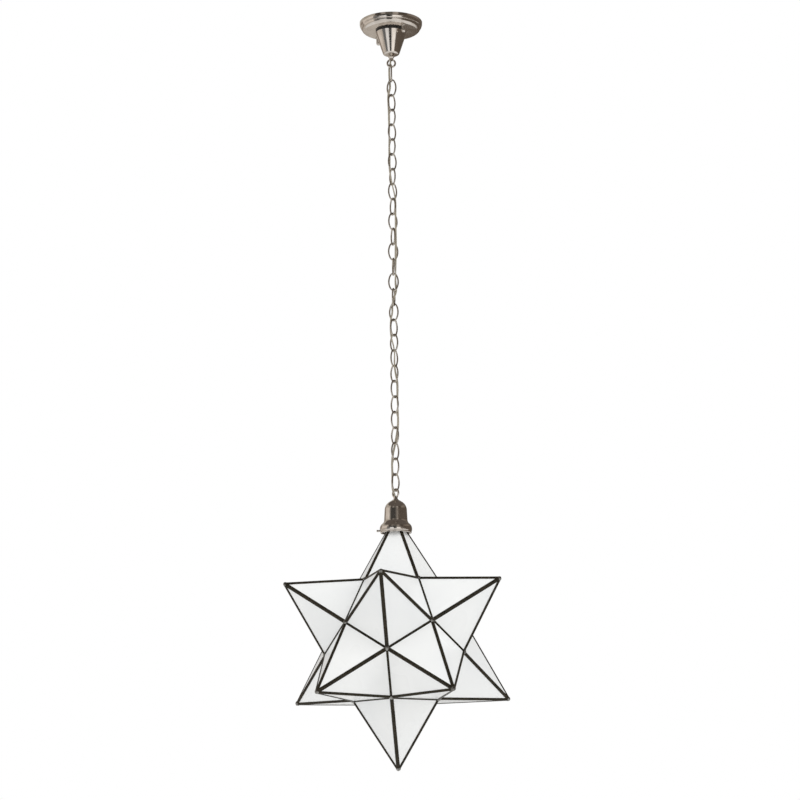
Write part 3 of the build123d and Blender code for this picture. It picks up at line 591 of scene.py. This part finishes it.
def canopyOutline(s):
    lip = [(s.lip, -s.lipGap), (s.lip, -s.lipHeight)]
    middle = ((s.lip + s.step) / 2 + s.bulge, -(s.lipHeight + s.stepLevel) / 2)
    upper = arcThrough(lip[1], middle, (s.step, -s.stepLevel), 10)
    inner = (s.step - s.stepWidth, -s.stepLevel)
    way = Vector(s.edge) - Vector(inner)
    edge = tangentArc(s.edge, way, s.floor, 14)
    outer = [lip[0]] + upper[:-1] + rounded([upper[-1], inner, s.edge], s.corner)[:-1] + edge
    outer.append((s.hole, s.floor[1]))
    wall = inside(outer, -s.wall)
    wall[0], wall[-1] = (wall[0][0], 0.0), (s.hole, s.floor[1] + s.wall)
    return [(s.lip - s.lipEdge, 0.0)] + outer + wall[::-1]


turnedPiece("canopyDish", canopyOutline(canopySizes), polishedNickel, "ceiling_set", ["canopy"], 160)

# a black spacer ring between canopy and cone; its black is also painted shade for the gap there
spacerSizes = named({"outer": 32.4, "inner": 28.0, "top": -19.5, "foot": -23.5, "edge": 0.5})


def spacerOutline(s):
    return rounded([(s.inner, s.foot), (s.outer, s.foot), (s.outer, s.top), (s.inner, s.top)], s.edge)


turnedPiece("coneSpacerShadeRing", spacerOutline(spacerSizes), blackMoulding, "ceiling_set", ["cone_spacer"])

# cone: open top, rounded foot, one wall all over
coneSizes = named({
    "top": (33.0, -23.5), "corner": (16.6, -72.5), "hole": 5.2, "edge": 3.6, "wall": 1.2, "rimEdge": 0.35,
    "rimFall": (0.08, 0.25),
})


def coneOutline(s):
    top, foot = s.top, s.corner[1]
    outer = rounded([top, s.corner, (s.hole, foot)], s.edge, 10)
    wall = inside(outer, -s.wall)
    wall[0], wall[-1] = (wall[0][0], top[1]), (s.hole, foot + s.wall)
    rimPoints = [(top[0] - s.rimEdge, top[1]), (top[0] - s.rimFall[0], top[1] - s.rimFall[1])]
    return rimPoints + outer[1:] + wall[::-1]


turnedPiece("coneShell", coneOutline(coneSizes), polishedNickel, "ceiling_set", ["cone"], 128)

# cap nuts: flange, plain barrel with a groove, domed end, blind bore
capNutSizes = named({
    "flange": 6.0, "flangeHeight": 1.2, "barrel": 4.8, "length": 16.8, "bore": 2.15, "depth": 11.0,
    "radius": 47.8, "top": -19.55, "groove": 2.6, "grooveDepth": 0.35, "grooveHalf": 0.3, "corner": 0.25,
    "domeMiddle": (0.7071, 0.2929),
})
studTurn = -55.6


def capNutOutline(s):
    barrel, length, groove, flange = s.barrel, s.length, s.groove, s.flange
    middle = (barrel * s.domeMiddle[0], -length + barrel * s.domeMiddle[1])
    dome = arcThrough((barrel, barrel - length), middle, (0, -length), 12)
    rimPoints = rounded([(s.bore, 0), (flange, 0), (flange, -s.flangeHeight), (barrel, -s.flangeHeight),
                         (barrel, -groove), (barrel - s.grooveDepth, -groove - s.grooveHalf),
                         (barrel, -groove - 2 * s.grooveHalf), (barrel, barrel - length)], s.corner, 3)
    return [(0, -s.depth), (s.bore, -s.depth)] + rimPoints[:-1] + dome


for side, turn in (("near", studTurn), ("far", studTurn + 180)):
    spot = heading(turn) * capNutSizes.radius * mm
    spot.z = capNutSizes.top * mm
    turnedPiece(side + "CapNut", capNutOutline(capNutSizes), polishedNickel, side + "_nut",
                ["cap_nut_" + side], 48, place=Matrix.Translation(spot))

# studs with a rolled thread
studSizes = named({
    "radius": 2.1, "top": -2.0, "foot": -29.5, "pitch": 0.8, "depth": 0.22, "ringStep": 0.16, "end": 0.5,
    "out": 47.8,
})


def threadShape(pitch, depth, low, high, least=0.0, phase=1):
    # a rolled thread beyond the least radius, faded out over one pitch at each end
    def shape(radius, height, turn):
        if radius < least:
            return 0
        fade = min(1, max(0, height - low) / pitch, max(0, high - height) / pitch)
        return -depth * fade * (0.5 + phase * 0.5 * cos(2 * pi * height / pitch - turn))
    return shape


def oneStud(turn, s):
    rings = int((s.top - s.foot - s.end) / s.ringStep)
    levels = [s.foot + s.end + k * s.ringStep for k in range(rings + 1)] + [s.top]
    outline = [(0, s.foot), (s.radius - s.end, s.foot)]
    outline += [(s.radius, z) for z in levels] + [(0, s.top)]
    stud = turned(outline, 20, threadShape(s.pitch, s.depth, s.foot + s.end, s.top))
    x, y = (s.out * mm * f(radians(turn)) for f in (cos, sin))
    stud.transform(Matrix.Translation((x, y, 0)))
    return stud


studs = together([oneStud(turn, studSizes) for turn in (studTurn, studTurn + 180)])
settle(newPiece("threadedStuds", studs, zincSteel, 60), "ceiling_set", ["canopy_studs"])

# connectors: ribbed cones with a hollow mouth, over the ends of the leads
connectorSizes = named({
    "mouth": 4.6, "tip": 3.2, "length": 20.0, "straight": 0.93, "bore": 3.0, "depth": 7.0, "boreEdge": 0.3,
    "mouthEdge": 0.25, "ribs": 12, "rib": 0.3, "ribStart": 1.5, "ribEnd": 19, "ribFade": 2, "out": 14.0,
    "level": -13.9, "columns": 16,
})


def connectorOutline(s):
    outer = [(s.mouth + (s.tip - s.mouth) * k / s.columns, s.length * k / s.columns * s.straight)
             for k in range(s.columns + 1)]
    last = outer[-1]
    turns = [pi / 2 * k / 6 for k in range(1, 6)]
    dome = [(last[0] * cos(t), last[1] + (s.length - last[1]) * sin(t)) for t in turns]
    mouth = [(0, s.depth), (s.bore, s.depth), (s.bore, s.boreEdge), (s.bore + s.boreEdge, 0),
             (s.mouth - s.mouthEdge, 0)]
    return mouth + outer[1:] + dome + [(0, s.length)]


def ribShape(s):
    def shape(radius, height, turn):
        if radius <= s.bore + s.boreEdge + 0.01 or height < s.ribStart:
            return 0
        fade = min(1, (height - s.ribStart) / s.ribFade, max(0, s.ribEnd - height) / s.ribFade)
        return -s.rib * fade * (0.5 + 0.5 * cos(s.ribs * turn)) ** 2
    return shape


def oneConnector(turn, s):
    shape = turned(connectorOutline(s), 72, ribShape(s))
    shape.transform(lying(turn, s.level, s.out))
    return shape


connectors = together([oneConnector(turn, connectorSizes) for turn in (studTurn + 90, studTurn + 270)])
settle(newPiece("ribbedConnectors", connectors, connectorPlastic), "ceiling_set", ["wire_connectors"])
print("ceiling pieces made")

# shade holder, collar, thumbscrews, bulb base
rim = heights.rim / mm
bellSizes = named({
    "beadRadius": 1.7, "beadCentre": 30.2, "beadStart": 165, "beadSweep": 225, "wallFoot": (31.7, 2.8),
    "wallMiddle": (32.75, 5.8), "wallTop": (33.0, 9.5), "shoulder": (27.8, 19.6), "waistMiddle": (25.2, 22.9),
    "waist": (23.8, 29.0), "crown": (22.8, 48.5), "crownEnd": (12.3, 65.6), "flat": (8.4, 68.0), "hole": 5.1,
    "wall": 1.2,
})


def bellOutline(s):
    lip = arcThrough(s.wallFoot, s.wallMiddle, s.wallTop, 6)
    shoulder = tangentArc(lip[-1], (0, 1), s.shoulder, 12)
    waist = arcThrough(s.shoulder, s.waistMiddle, s.waist, 8)
    way = Vector(s.crown) - Vector(s.waist)
    wall = [tuple(Vector(s.waist) + way * k / 8) for k in range(1, 9)]
    crown = tangentArc(s.crown, way, s.crownEnd, 18)
    outer = lip + shoulder[1:] + waist[1:] + wall + crown[1:] + [s.flat, (s.hole, s.flat[1])]
    inner = inside(outer, s.wall)
    inner[-1] = (s.hole, s.flat[1] - s.wall)
    turns = [radians(s.beadStart + s.beadSweep * k / 20) for k in range(21)]
    bead = [(s.beadCentre + s.beadRadius * cos(t), s.beadRadius * (1 + sin(t))) for t in turns]
    return [(r, rim + z) for r, z in bead + outer + inner[::-1]]


turnedPiece("bellShell", bellOutline(bellSizes), polishedNickel, "holder", ["shade_holder"], 144)

collarSizes = named({
    "outer": 26.0, "inner": 25.0, "bore": 15.2, "floor": 3.0, "floorTop": 4.0, "lip": 2.5, "top": 12.0,
    "corner": 0.3,
})


def collarOutline(s):
    line = rounded([(s.bore, s.floor), (s.inner, s.floor), (s.inner, s.lip), (s.outer, s.lip), (s.outer, s.top),
                    (s.inner, s.top), (s.inner, s.floorTop), (s.bore, s.floorTop)], s.corner, 3)
    return [(r, rim + z) for r, z in line]


turnedPiece("starCollarRing", collarOutline(collarSizes), polishedNickel, "star", ["star_collar"])

# thumbscrews: short threaded shank and a knurled head
screwSizes = named({
    "tip": 26.3, "tipEdge": 0.4, "shank": 1.5, "ringStep": 0.14, "pitch": 0.7, "threadDepth": 0.2, "head": 33.5,
    "end": 39.9, "headRadius": 2.2, "startEdge": 0.4, "endEdge": 0.5, "plain": 1.0, "knurls": 18, "knurl": 0.22,
    "knurlMargin": 0.8, "height": 6.0, "turns": (172, 292, 52),
})


def screwOutline(s):
    edge = s.tipEdge
    rings = int((s.head - s.tip - edge) / s.ringStep)
    shank = [(s.shank, s.tip + edge + k * s.ringStep) for k in range(rings + 1)]
    r, start, end = s.headRadius, s.head, s.end
    head = [(r - s.startEdge, start), (r, start + s.startEdge), (r, start + s.plain), (r, end - s.plain),
            (r, end - s.endEdge), (r - s.endEdge, end)]
    return [(0, s.tip), (s.shank - edge, s.tip)] + shank + head + [(0, end)]


def screwShape(s):
    thread = threadShape(s.pitch, s.threadDepth, s.tip + s.tipEdge, s.head)

    def shape(radius, height, turn):
        if height < s.head:
            return thread(radius, height, turn)
        between = s.head + s.knurlMargin < height < s.end - s.knurlMargin
        knurled = radius >= s.headRadius and between
        return -s.knurl * (0.5 + 0.5 * cos(s.knurls * turn)) if knurled else 0
    return shape


for number, turn in enumerate(screwSizes.turns, 1):
    turnedPiece(f"knurledScrew{number}", screwOutline(screwSizes), polishedNickel, f"screw_{number}",
                [f"thumbscrew_{number}"], 72, screwShape(screwSizes),
                lying(turn, rim + screwSizes.height))

# bulb base: a coarse rolled thread, a stepped end and a contact button
baseSizes = named({
    "radius": 13.0, "foot": 15.7, "top": 39.7, "contactTop": 42.7, "neck": 12.2, "neckDepth": 8.0, "pitch": 3.6,
    "depth": 0.5, "threadFrom": 17, "threadTo": 37, "ringStart": 0.6, "ringStep": 0.45, "rings": 45,
    "end": ((10.2, -0.1), (6.0, 0.5), (4.5, 1.0)), "button": ((4.4, -1.2), (3.4, -0.3), (1.8, 0), (0, 0)),
})


def bulbBaseOutline(s):
    inner = [(0, s.foot + s.neckDepth), (s.neck, s.foot + s.neckDepth), (s.neck, s.foot)]
    rings = [(s.radius, s.foot + s.ringStart + k * s.ringStep) for k in range(s.rings)]
    end = [(r, s.top + z) for r, z in s.end] + [(r, s.contactTop + z) for r, z in s.button]
    return [(r, rim + z) for r, z in inner + [(s.radius, s.foot)] + rings + end]


baseThread = threadShape(baseSizes.pitch, baseSizes.depth, rim + baseSizes.threadFrom,
                         rim + baseSizes.threadTo, baseSizes.radius - 0.01, -1)
turnedPiece("threadedBase", bulbBaseOutline(baseSizes), socketBrass, "bulb", ["bulb_base"], 64, baseThread)
print("holder pieces made")


# geometry node helpers
def newShapeTree(name, inputs):
    return newGroup("GeometryNodeTree", name, {"Geometry": "mesh", **inputs}, {"Geometry": "mesh"})


def endTree(tree, end, geometry, material):
    real = flow(tree, "GeometryNodeRealizeInstances", {"Geometry": geometry})
    painted = flow(tree, "GeometryNodeSetMaterial", {"Geometry": real, "Material": material})
    tree.links.new(painted, end["Geometry"])
    return tree


def joinShapes(tree, shapes):
    joined = add(tree, "GeometryNodeJoinGeometry")
    for shape in shapes:
        tree.links.new(shape, joined.inputs[0])
    return joined.outputs[0]


def plainMesh(base, tree, values):
    # sets the tree's inputs by their identifiers, evaluates it over base and keeps only the mesh
    holder = newObject(base.name, base)
    modifier = holder.modifiers.new(base.name, "NODES")
    modifier.node_group = tree
    for item in tree.interface.items_tree:
        if item.item_type == "SOCKET" and item.in_out == "INPUT" and item.name in values:
            modifier[item.identifier] = values[item.name]
    mesh = evaluatedMesh(holder)
    holder.modifiers.remove(modifier)
    bpy.data.objects.remove(holder)
    bm = bmesh.new()
    bm.from_mesh(mesh)
    bmesh.ops.remove_doubles(bm, verts=bm.verts, dist=1e-6)
    return bm


# chain: one tree makes every link
linkSizes = named({
    "halfLength": 18.05, "halfWidth": 9.8, "endRadius": 6.8, "wire": 3.2, "seam": 0.2, "pitch": 32.7,
    "firstMiddle": -113.85,
})
# the chain's slow twist: a link's number and its turn in degrees, before the quarter turn from link to link
linkStations = ((1, 90), (3, 46), (7, 36), (11, 30), (15, 0), (18, -42), (28, -47))


def linkTurn(number):
    slow = linkStations[-1][1]
    if number < linkStations[-1][0]:
        (n0, t0), (n1, t1) = next(p for p in zip(linkStations, linkStations[1:]) if number <= p[1][0])
        slow = t0 + (t1 - t0) * (number - n0) / (n1 - n0)
    return slow + 90 * (number - 1)


def makeLinkTree():
    # five arcs welded into an open oval, then swept into wire that tapers a little at its butt seam
    tree, get, end = newShapeTree("ovalWireLink", {
        "Side Radius": 0.03, "Side Offset": 0.02, "End Radius": 0.0068, "End Offset": 0.011, "Meet": 0.5,
        "Seam": 0.01, "Wire Radius": 0.0016, "Turn": 0.0, "Height": 0.0, "Metal": None})
    meet, seam = get["Meet"], get["Seam"]
    left = joinXyz(tree, times(tree, get["Side Offset"], -1.0))
    below = times(tree, get["End Offset"], -1.0)
    twice = times(tree, meet, 2.0)
    over = minus(tree, pi, twice)
    arcs = (
        (left, "Side Radius", seam, minus(tree, meet, seam), 9),
        (joinXyz(tree, 0, get["End Offset"]), "End Radius", meet, over, 15),
        (joinXyz(tree, get["Side Offset"]), "Side Radius", minus(tree, pi, meet), twice, 17),
        (joinXyz(tree, 0, below), "End Radius", plus(tree, meet, pi), over, 15),
        (left, "Side Radius", times(tree, meet, -1.0), meet, 9),
    )
    parts = []
    for place, radius, begin, sweep, points in arcs:
        arc = flow(tree, "GeometryNodeCurveArc", {
            "Resolution": points, "Radius": get[radius], "Start Angle": begin, "Sweep Angle": sweep})
        parts.append(flow(tree, "GeometryNodeTransform", {"Geometry": arc, "Translation": place}))
    edges = flow(tree, "GeometryNodeCurveToMesh", {"Curve": joinShapes(tree, parts)})
    welded = flow(tree, "GeometryNodeMergeByDistance", {"Distance": 0.00002, "Geometry": edges})
    path = flow(tree, "GeometryNodeMeshToCurve", {"Mesh": welded})
    along = add(tree, "GeometryNodeSplineParameter").outputs["Factor"]
    toEnd = mathNode(tree, "MINIMUM", along, minus(tree, 1.0, along))
    eased = spread(tree, toEnd, 0.0, 0.008, 0.86, 1.0)
    wire = flow(tree, "GeometryNodeCurvePrimitiveCircle", {"Resolution": 16, "Radius": get["Wire Radius"]})
    sized = flow(tree, "GeometryNodeSetCurveRadius", {"Curve": path, "Radius": eased})
    swept = flow(tree, "GeometryNodeCurveToMesh", {"Fill Caps": True, "Curve": sized, "Profile Curve": wire})
    stood = flow(tree, "GeometryNodeTransform", {
        "Geometry": swept, "Translation": joinXyz(tree, 0, 0, get["Height"]),
        "Rotation": joinXyz(tree, pi / 2, 0, get["Turn"])})
    return endTree(tree, end, stood, get["Metal"])


def makeLinks(s):
    linkTree = makeLinkTree()
    endOffset = s.halfLength - s.endRadius
    sideRadius = (s.halfWidth ** 2 + endOffset ** 2 - s.endRadius ** 2) / (2 * (s.halfWidth - s.endRadius))
    sideOffset = sideRadius - s.halfWidth
    for number in range(1, linkCount + 1):
        name = f"ovalLink{number:02d}"
        bm = plainMesh(bpy.data.meshes.new(name + "Base"), linkTree, {
            "Side Radius": sideRadius * mm, "Side Offset": sideOffset * mm, "End Radius": s.endRadius * mm,
            "End Offset": endOffset * mm, "Meet": atan2(endOffset, sideOffset),
            "Seam": s.seam / sideRadius, "Wire Radius": s.wire / 2 * mm,
            "Turn": radians(linkTurn(number)),
            "Height": (s.firstMiddle - s.pitch * (number - 1)) * mm, "Metal": chainNickel})
        settle(newPiece(name, bm, chainNickel), f"link_{number:02d}", [f"chain_link_{number:02d}"])


makeLinks(linkSizes)
print("chain made")

# star: came strips and solder
starSizes = named({
    "tip": 260.0, "base": 108.0, "ridgeHalf": 4.5, "valleyHalf": 3.1, "thick": 1.25, "soft": 1.1,
    "ridgeEnd": 5.0, "cutHeight": 2.8, "tipBlob": (5.0, 5.0, 6.2), "jointBlob": (5.6, 5.6, 3.0),
    "jointRise": 0.6,
})
golden = (1 + sqrt(5)) / 2
starCentre = Vector((0, 0, heights.starCentre / mm))


def starPoints():
    # twelve axes, twenty valley corners, each with the three points that meet there
    across = 2 * atan2(1, golden)
    axes = [Vector((0, 0, 1)), Vector((0, 0, -1))]
    for side in range(5):
        for polar, turn in ((across, starTurn + 72 * side), (pi - across, starTurn + 36 + 72 * side)):
            t = radians(turn)
            axes.append(Vector((sin(polar) * cos(t), sin(polar) * sin(t), cos(polar))))
    valleyRadius = starSizes.base * sqrt(3) * golden / 2
    neighbour = 0.4  # the least cosine between two points that share a valley
    corners = []
    for trio in combinations(range(12), 3):
        a, b, c = (axes[k] for k in trio)
        if min(a.dot(b), b.dot(c), a.dot(c)) > neighbour:
            corners.append(((a + b + c).normalized() * valleyRadius, set(trio)))
    return axes, corners


starAxes, starCorners = starPoints()


def fallOfPane(tip, corner, other, out):
    # how steeply the pane with these corners falls away from a strip that faces out
    face = (tip - corner).cross(other - corner).normalized()
    return tan(acos(min(1, abs(face.dot(out)))))


def starStrips():
    # where each strip starts, which way it runs and faces, how long it is, and how the glass falls away
    cutHeight = rim + starSizes.cutHeight
    ridges, valleys = [], []
    for corner, owners in starCorners:
        for owner in owners:
            tip = starAxes[owner] * starSizes.tip
            way = (tip - corner).normalized()
            run = (tip - corner).length - starSizes.ridgeEnd
            if owner == 0:
                run = (cutHeight - starCentre.z - corner.z) / way.z
            out = (corner - way * corner.dot(way)).normalized()
            other = next(c for c, o in starCorners
                         if owner in o and c is not corner and (c - corner).length < starSizes.base + 1)
            ridges.append((starCentre + corner, way, out, run, fallOfPane(tip, corner, other, out)))
    for k, (corner, owners) in enumerate(starCorners):
        for other, others in starCorners[k + 1:]:
            shared = owners & others
            if len(shared) == 2:
                way = (other - corner).normalized()
                out = (corner + other).normalized()
                tip = starAxes[shared.pop()] * starSizes.tip
                slope = -fallOfPane(tip, corner, other, out)
                valleys.append((starCentre + corner, way, out, (other - corner).length, slope))
    return ridges, valleys


def pointMesh(name, rows):
    # one loose vertex for each row, with its directions and size as attributes
    mesh = bpy.data.meshes.new(name)
    mesh.from_pydata([tuple(row[0] * mm) for row in rows], [], [])
    for key, column in (("way", 1), ("out", 2)):
        layer = mesh.attributes.new(key, "FLOAT_VECTOR", "POINT")
        layer.data.foreach_set("vector", [c for row in rows for c in row[column]])
    mesh.attributes.new("run", "FLOAT", "POINT").data.foreach_set("value", [row[3] * mm for row in rows])
    return mesh


def namedValue(tree, name, kind):
    node = add(tree, "GeometryNodeInputNamedAttribute", {"Name": name}, data_type=kind)
    return next(o for o in node.outputs if o.enabled and o.name == "Attribute")


def laidOut(tree, points, shape, scale):
    # one copy of shape at each point, with Z along its way and X towards its out
    way, out = (namedValue(tree, name, "FLOAT_VECTOR") for name in ("way", "out"))
    along = flow(tree, "FunctionNodeAlignRotationToVector", {"Vector": way}, axis="Z")
    faced = flow(tree, "FunctionNodeAlignRotationToVector", {"Rotation": along, "Vector": out},
                 axis="X", pivot_axis="Z")
    return flow(tree, "GeometryNodeInstanceOnPoints",
                {"Points": points, "Instance": shape, "Rotation": faced, "Scale": scale})


def scaled(tree, vector, factor):
    return flow(tree, "ShaderNodeVectorMath", {0: vector, "Scale": factor}, operation="SCALE")


def makeCameTree():
    # a rounded strip folded along its middle, so that each half lies on one pane
    tree, get, end = newShapeTree("foldedCame", {
        "Half Width": 0.004, "Thickness": 0.001, "Fall": 0.5, "Softness": 0.001, "Came": None})
    loop = flow(tree, "GeometryNodeCurvePrimitiveCircle", {"Resolution": 22, "Radius": 1.0})
    x, y, z = add(tree, "ShaderNodeSeparateXYZ", {0: flow(tree, "GeometryNodeInputPosition")}).outputs
    over = times(tree, x, get["Half Width"])
    squared = plus(tree, times(tree, over, over), times(tree, get["Softness"], get["Softness"]))
    folded = minus(tree, mathNode(tree, "SQRT", squared), get["Softness"])
    drop = times(tree, folded, get["Fall"])
    rise = times(tree, y, get["Thickness"])
    bent = joinXyz(tree, minus(tree, rise, drop), over, 0.0)
    moved = flow(tree, "GeometryNodeSetPosition", {"Geometry": loop, "Position": bent})
    filled = flow(tree, "GeometryNodeFillCurve", {0: moved}, mode="NGONS")
    pulled = add(tree, "GeometryNodeExtrudeMesh",
                 {"Individual": False, "Offset": (0, 0, 1), "Offset Scale": 1.0, "Mesh": filled})
    closed = joinShapes(tree, [pulled.outputs["Mesh"], filled])
    strip = flow(tree, "GeometryNodeMergeByDistance", {"Distance": 0.000001, "Geometry": closed})
    size = joinXyz(tree, 1.0, 1.0, namedValue(tree, "run", "FLOAT"))
    return endTree(tree, end, laidOut(tree, get["Geometry"], strip, size), get["Came"])


def makeSolderTree():
    # lumps of solder, each turned and sized a little differently
    tree, get, end = newShapeTree("solderLumps", {
        "Size": (0.004, 0.004, 0.004), "Lumpiness": 0.12, "Seed": 4, "Solder": None})
    ball = flow(tree, "GeometryNodeMeshIcoSphere", {"Radius": 1.0, "Subdivisions": 4})
    place = flow(tree, "GeometryNodeInputPosition")
    noise = noiseAt(tree, place, 1.7, 1.0)
    swell = times(tree, minus(tree, noise, 0.5), get["Lumpiness"])
    stretch = scaled(tree, place, times(tree, swell, 2.0))
    lump = flow(tree, "GeometryNodeSetPosition", {"Geometry": ball, "Offset": stretch})
    chance = add(tree, "FunctionNodeRandomValue", {2: 0.86, 3: 1.0, "Seed": get["Seed"]}, data_type="FLOAT")
    grown = scaled(tree, get["Size"], next(o for o in chance.outputs if o.enabled))
    return endTree(tree, end, laidOut(tree, get["Geometry"], lump, grown), get["Solder"])


def solderRows():
    # rows for the lumps at eleven tips and twenty joints, each turned by its own angle
    def row(place, axis, turn):
        return place, axis, Matrix.Rotation(turn, 3, axis) @ axis.orthogonal().normalized(), 1.0

    reach = starSizes.tip - starSizes.tipBlob[2]
    tips = [row(starCentre + axis * reach, axis, 2.4 * k) for k, axis in enumerate(starAxes[1:], 1)]
    ways = [(corner, corner.normalized()) for corner, owners in starCorners]
    rise = starSizes.jointRise
    return tips, [row(starCentre + corner + way * rise, way, 1.7 * k) for k, (corner, way) in enumerate(ways)]


def starPiece(name, rows, tree, values, finish, sharp=38):
    bm = plainMesh(pointMesh(name + "Base", rows), tree, values)
    settle(newPiece(name, bm, finish, sharp), "star", ["point_frames", "top_point_frame"])


cameTree, solderTree = makeCameTree(), makeSolderTree()
ridgeRows, valleyRows = starStrips()
print("came strips:", len(ridgeRows), "ridges,", len(valleyRows), "valleys")
for name, rows, half in (("ridgeCames", ridgeRows, "ridgeHalf"), ("valleyCames", valleyRows, "valleyHalf")):
    slope = rows[0][4]
    starPiece(name, rows, cameTree, {
        "Half Width": starSizes[half] * cos(atan(slope)) * mm, "Thickness": starSizes.thick * mm,
        "Fall": slope, "Softness": starSizes.soft * mm, "Came": darkCame}, darkCame)
for name, rows, size in zip(("tipSolder", "jointSolder"), solderRows(), ("tipBlob", "jointBlob")):
    starPiece(name, rows, solderTree, {
        "Size": [v * mm for v in starSizes[size]], "Lumpiness": 0.14, "Seed": 4, "Solder": softSolder},
        softSolder, 80)
print("star made")

# lamp cord: a flat twin cord along its route, cut at the middle of each link
cordSizes = named({
    "core": 1.3, "apart": 1.0, "points": 18, "twistEvery": 0.31, "waver": 0.7, "waverRate": 23,
    "bendReach": 0.008, "upper": (-0.0135, -0.0875), "lower": (-1.0231, -1.0524),
})
# crossings down the chain, where a half is the middle of a link, degrees round it and mm from its axis
cordPoints = (
    (0, 136, 7.1), (1, 118, 8.2), (1.5, 162, 3.0), (2, 196, 8.1), (3, 180, 6.1), (4, 177, 5.7), (5, 178, 6.4),
    (6, 172, 5.8), (7, 160, 6.5), (8, 259, 7.7), (9, 357, 6.6), (10, 345, 5.9), (11, 343, 6.0), (12, 330, 6.7),
    (13, 322, 6.2), (14, 311, 7.3), (14.5, 38, 4.8), (15, 34, 7.5), (15.5, 81, 4.0), (16, 115, 8.2),
    (16.5, 146, 3.0), (17, 194, 7.2), (18, 183, 7.5), (19, 282, 6.6), (20, 270, 6.4), (20.5, 317, 3.3),
    (21, 4, 6.3), (22, 1, 5.7), (23, 352, 6.7), (24, 354, 6.7), (25, 89, 7.6), (26, 182, 7.1), (27, 178, 6.1),
    (28, 178, 7.1),
)


def cordRoute():
    route = [(0, 0, z) for z in cordSizes.upper]
    for crossing, turn, radius in cordPoints:
        t = radians(turn)
        route.append((radius * mm * cos(t), radius * mm * sin(t),
                      heights.firstCrossing - crossing * heights.linkPitch))
    return route + [(0, 0, z) for z in cordSizes.lower]


def smoothRoute(points):
    data = bpy.data.curves.new("cordLine", "CURVE")
    data.dimensions = "3D"
    data.resolution_u = 9
    spline = data.splines.new("NURBS")
    spline.points.add(len(points) - 1)
    for point, place in zip(spline.points, points):
        point.co = (*place, 1)
    spline.order_u = 3
    spline.use_endpoint_u = True
    line = newObject("cordLine", data)
    places = [v.co.copy() for v in evaluatedMesh(line).vertices]
    bpy.data.objects.remove(line)
    return places


def cordRings(places, s):
    # carries the section's frame along the line and lets the flat cord turn slowly
    rings, side, gone = [], Vector((1, 0, 0)), 0.0
    for k, place in enumerate(places):
        before, after = places[max(k - 1, 0)], places[min(k + 1, len(places) - 1)]
        way = (after - before).normalized()
        side = (side - way * side.dot(way)).normalized()
        if k:
            gone += (place - places[k - 1]).length
        twist = 2 * pi * gone / s.twistEvery + s.waver * sin(gone * s.waverRate)
        across = side * cos(twist) + way.cross(side) * sin(twist)
        up = way.cross(across)
        ring = []
        for j in range(s.points):
            t = 2 * pi * j / s.points
            reach = s.apart * abs(cos(t)) + sqrt(s.core ** 2 - (s.apart * sin(t)) ** 2)
            ring.append(place + (across * cos(t) + up * sin(t)) * reach * mm)
        rings.append(ring)
    return rings


def cordPiece(name, rings):
    bm = bmesh.new()
    rows = [[bm.verts.new(p) for p in ring] for ring in rings]
    for a, b in zip(rows, rows[1:]):
        for k in range(len(a)):
            j = (k + 1) % len(a)
            bm.faces.new((a[k], a[j], b[j], b[k]))
    bm.faces.new(rows[0])
    bm.faces.new(rows[-1])
    return newPiece(name, bm, cordJacket, 70)


places = smoothRoute(cordRoute())
rings = cordRings(places, cordSizes)
middles = [(linkSizes.firstMiddle - linkSizes.pitch * k) * mm for k in range(linkCount)]
cuts = [0] + [min(range(len(places)), key=lambda i: abs(places[i].z - z)) for z in middles] + [len(rings) - 1]
for k, (first, last) in enumerate(zip(cuts, cuts[1:])):
    piece = cordPiece(f"cordRun{k:02d}", rings[first:last + 1])
    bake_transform(piece)
    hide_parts("lamp_cord")
print("cord made:", len(cuts) - 1, "runs")

# every solid has its finish, also those that a piece replaces; what isn't listed is polished nickel
finishOfNode = {
    chainNickel: [name for name in nodes if name.startswith("chain_link")],
    zincSteel: ["box_strap", "canopy_strap", "strap_eyelet", "canopy_studs", "nipple", "nipple_lock_washer",
                "nipple_lock_nut", "holder_lock_nut"],
    darkCame: ["top_point_frame", "point_frames"],
    whiteGlass: ["top_point_panes", "point_panes"],
    frostedGlass: ["bulb_glass"],
    socketBrass: ["socket_cap", "screw_shell", "bulb_base"],
    # the cone spacer's black is also painted shade for the gap under the canopy
    blackMoulding: ["cone_spacer", "socket_body"],
    cordJacket: ["lamp_cord"],
    leadJacket: ["supply_leads"],
    connectorPlastic: ["wire_connectors"],
}
listed = {name: finish for finish, names in finishOfNode.items() for name in names}
for name, node in nodes.items():
    node.data.materials.clear()
    node.data.materials.append(listed.get(name, polishedNickel))
print("solids painted")
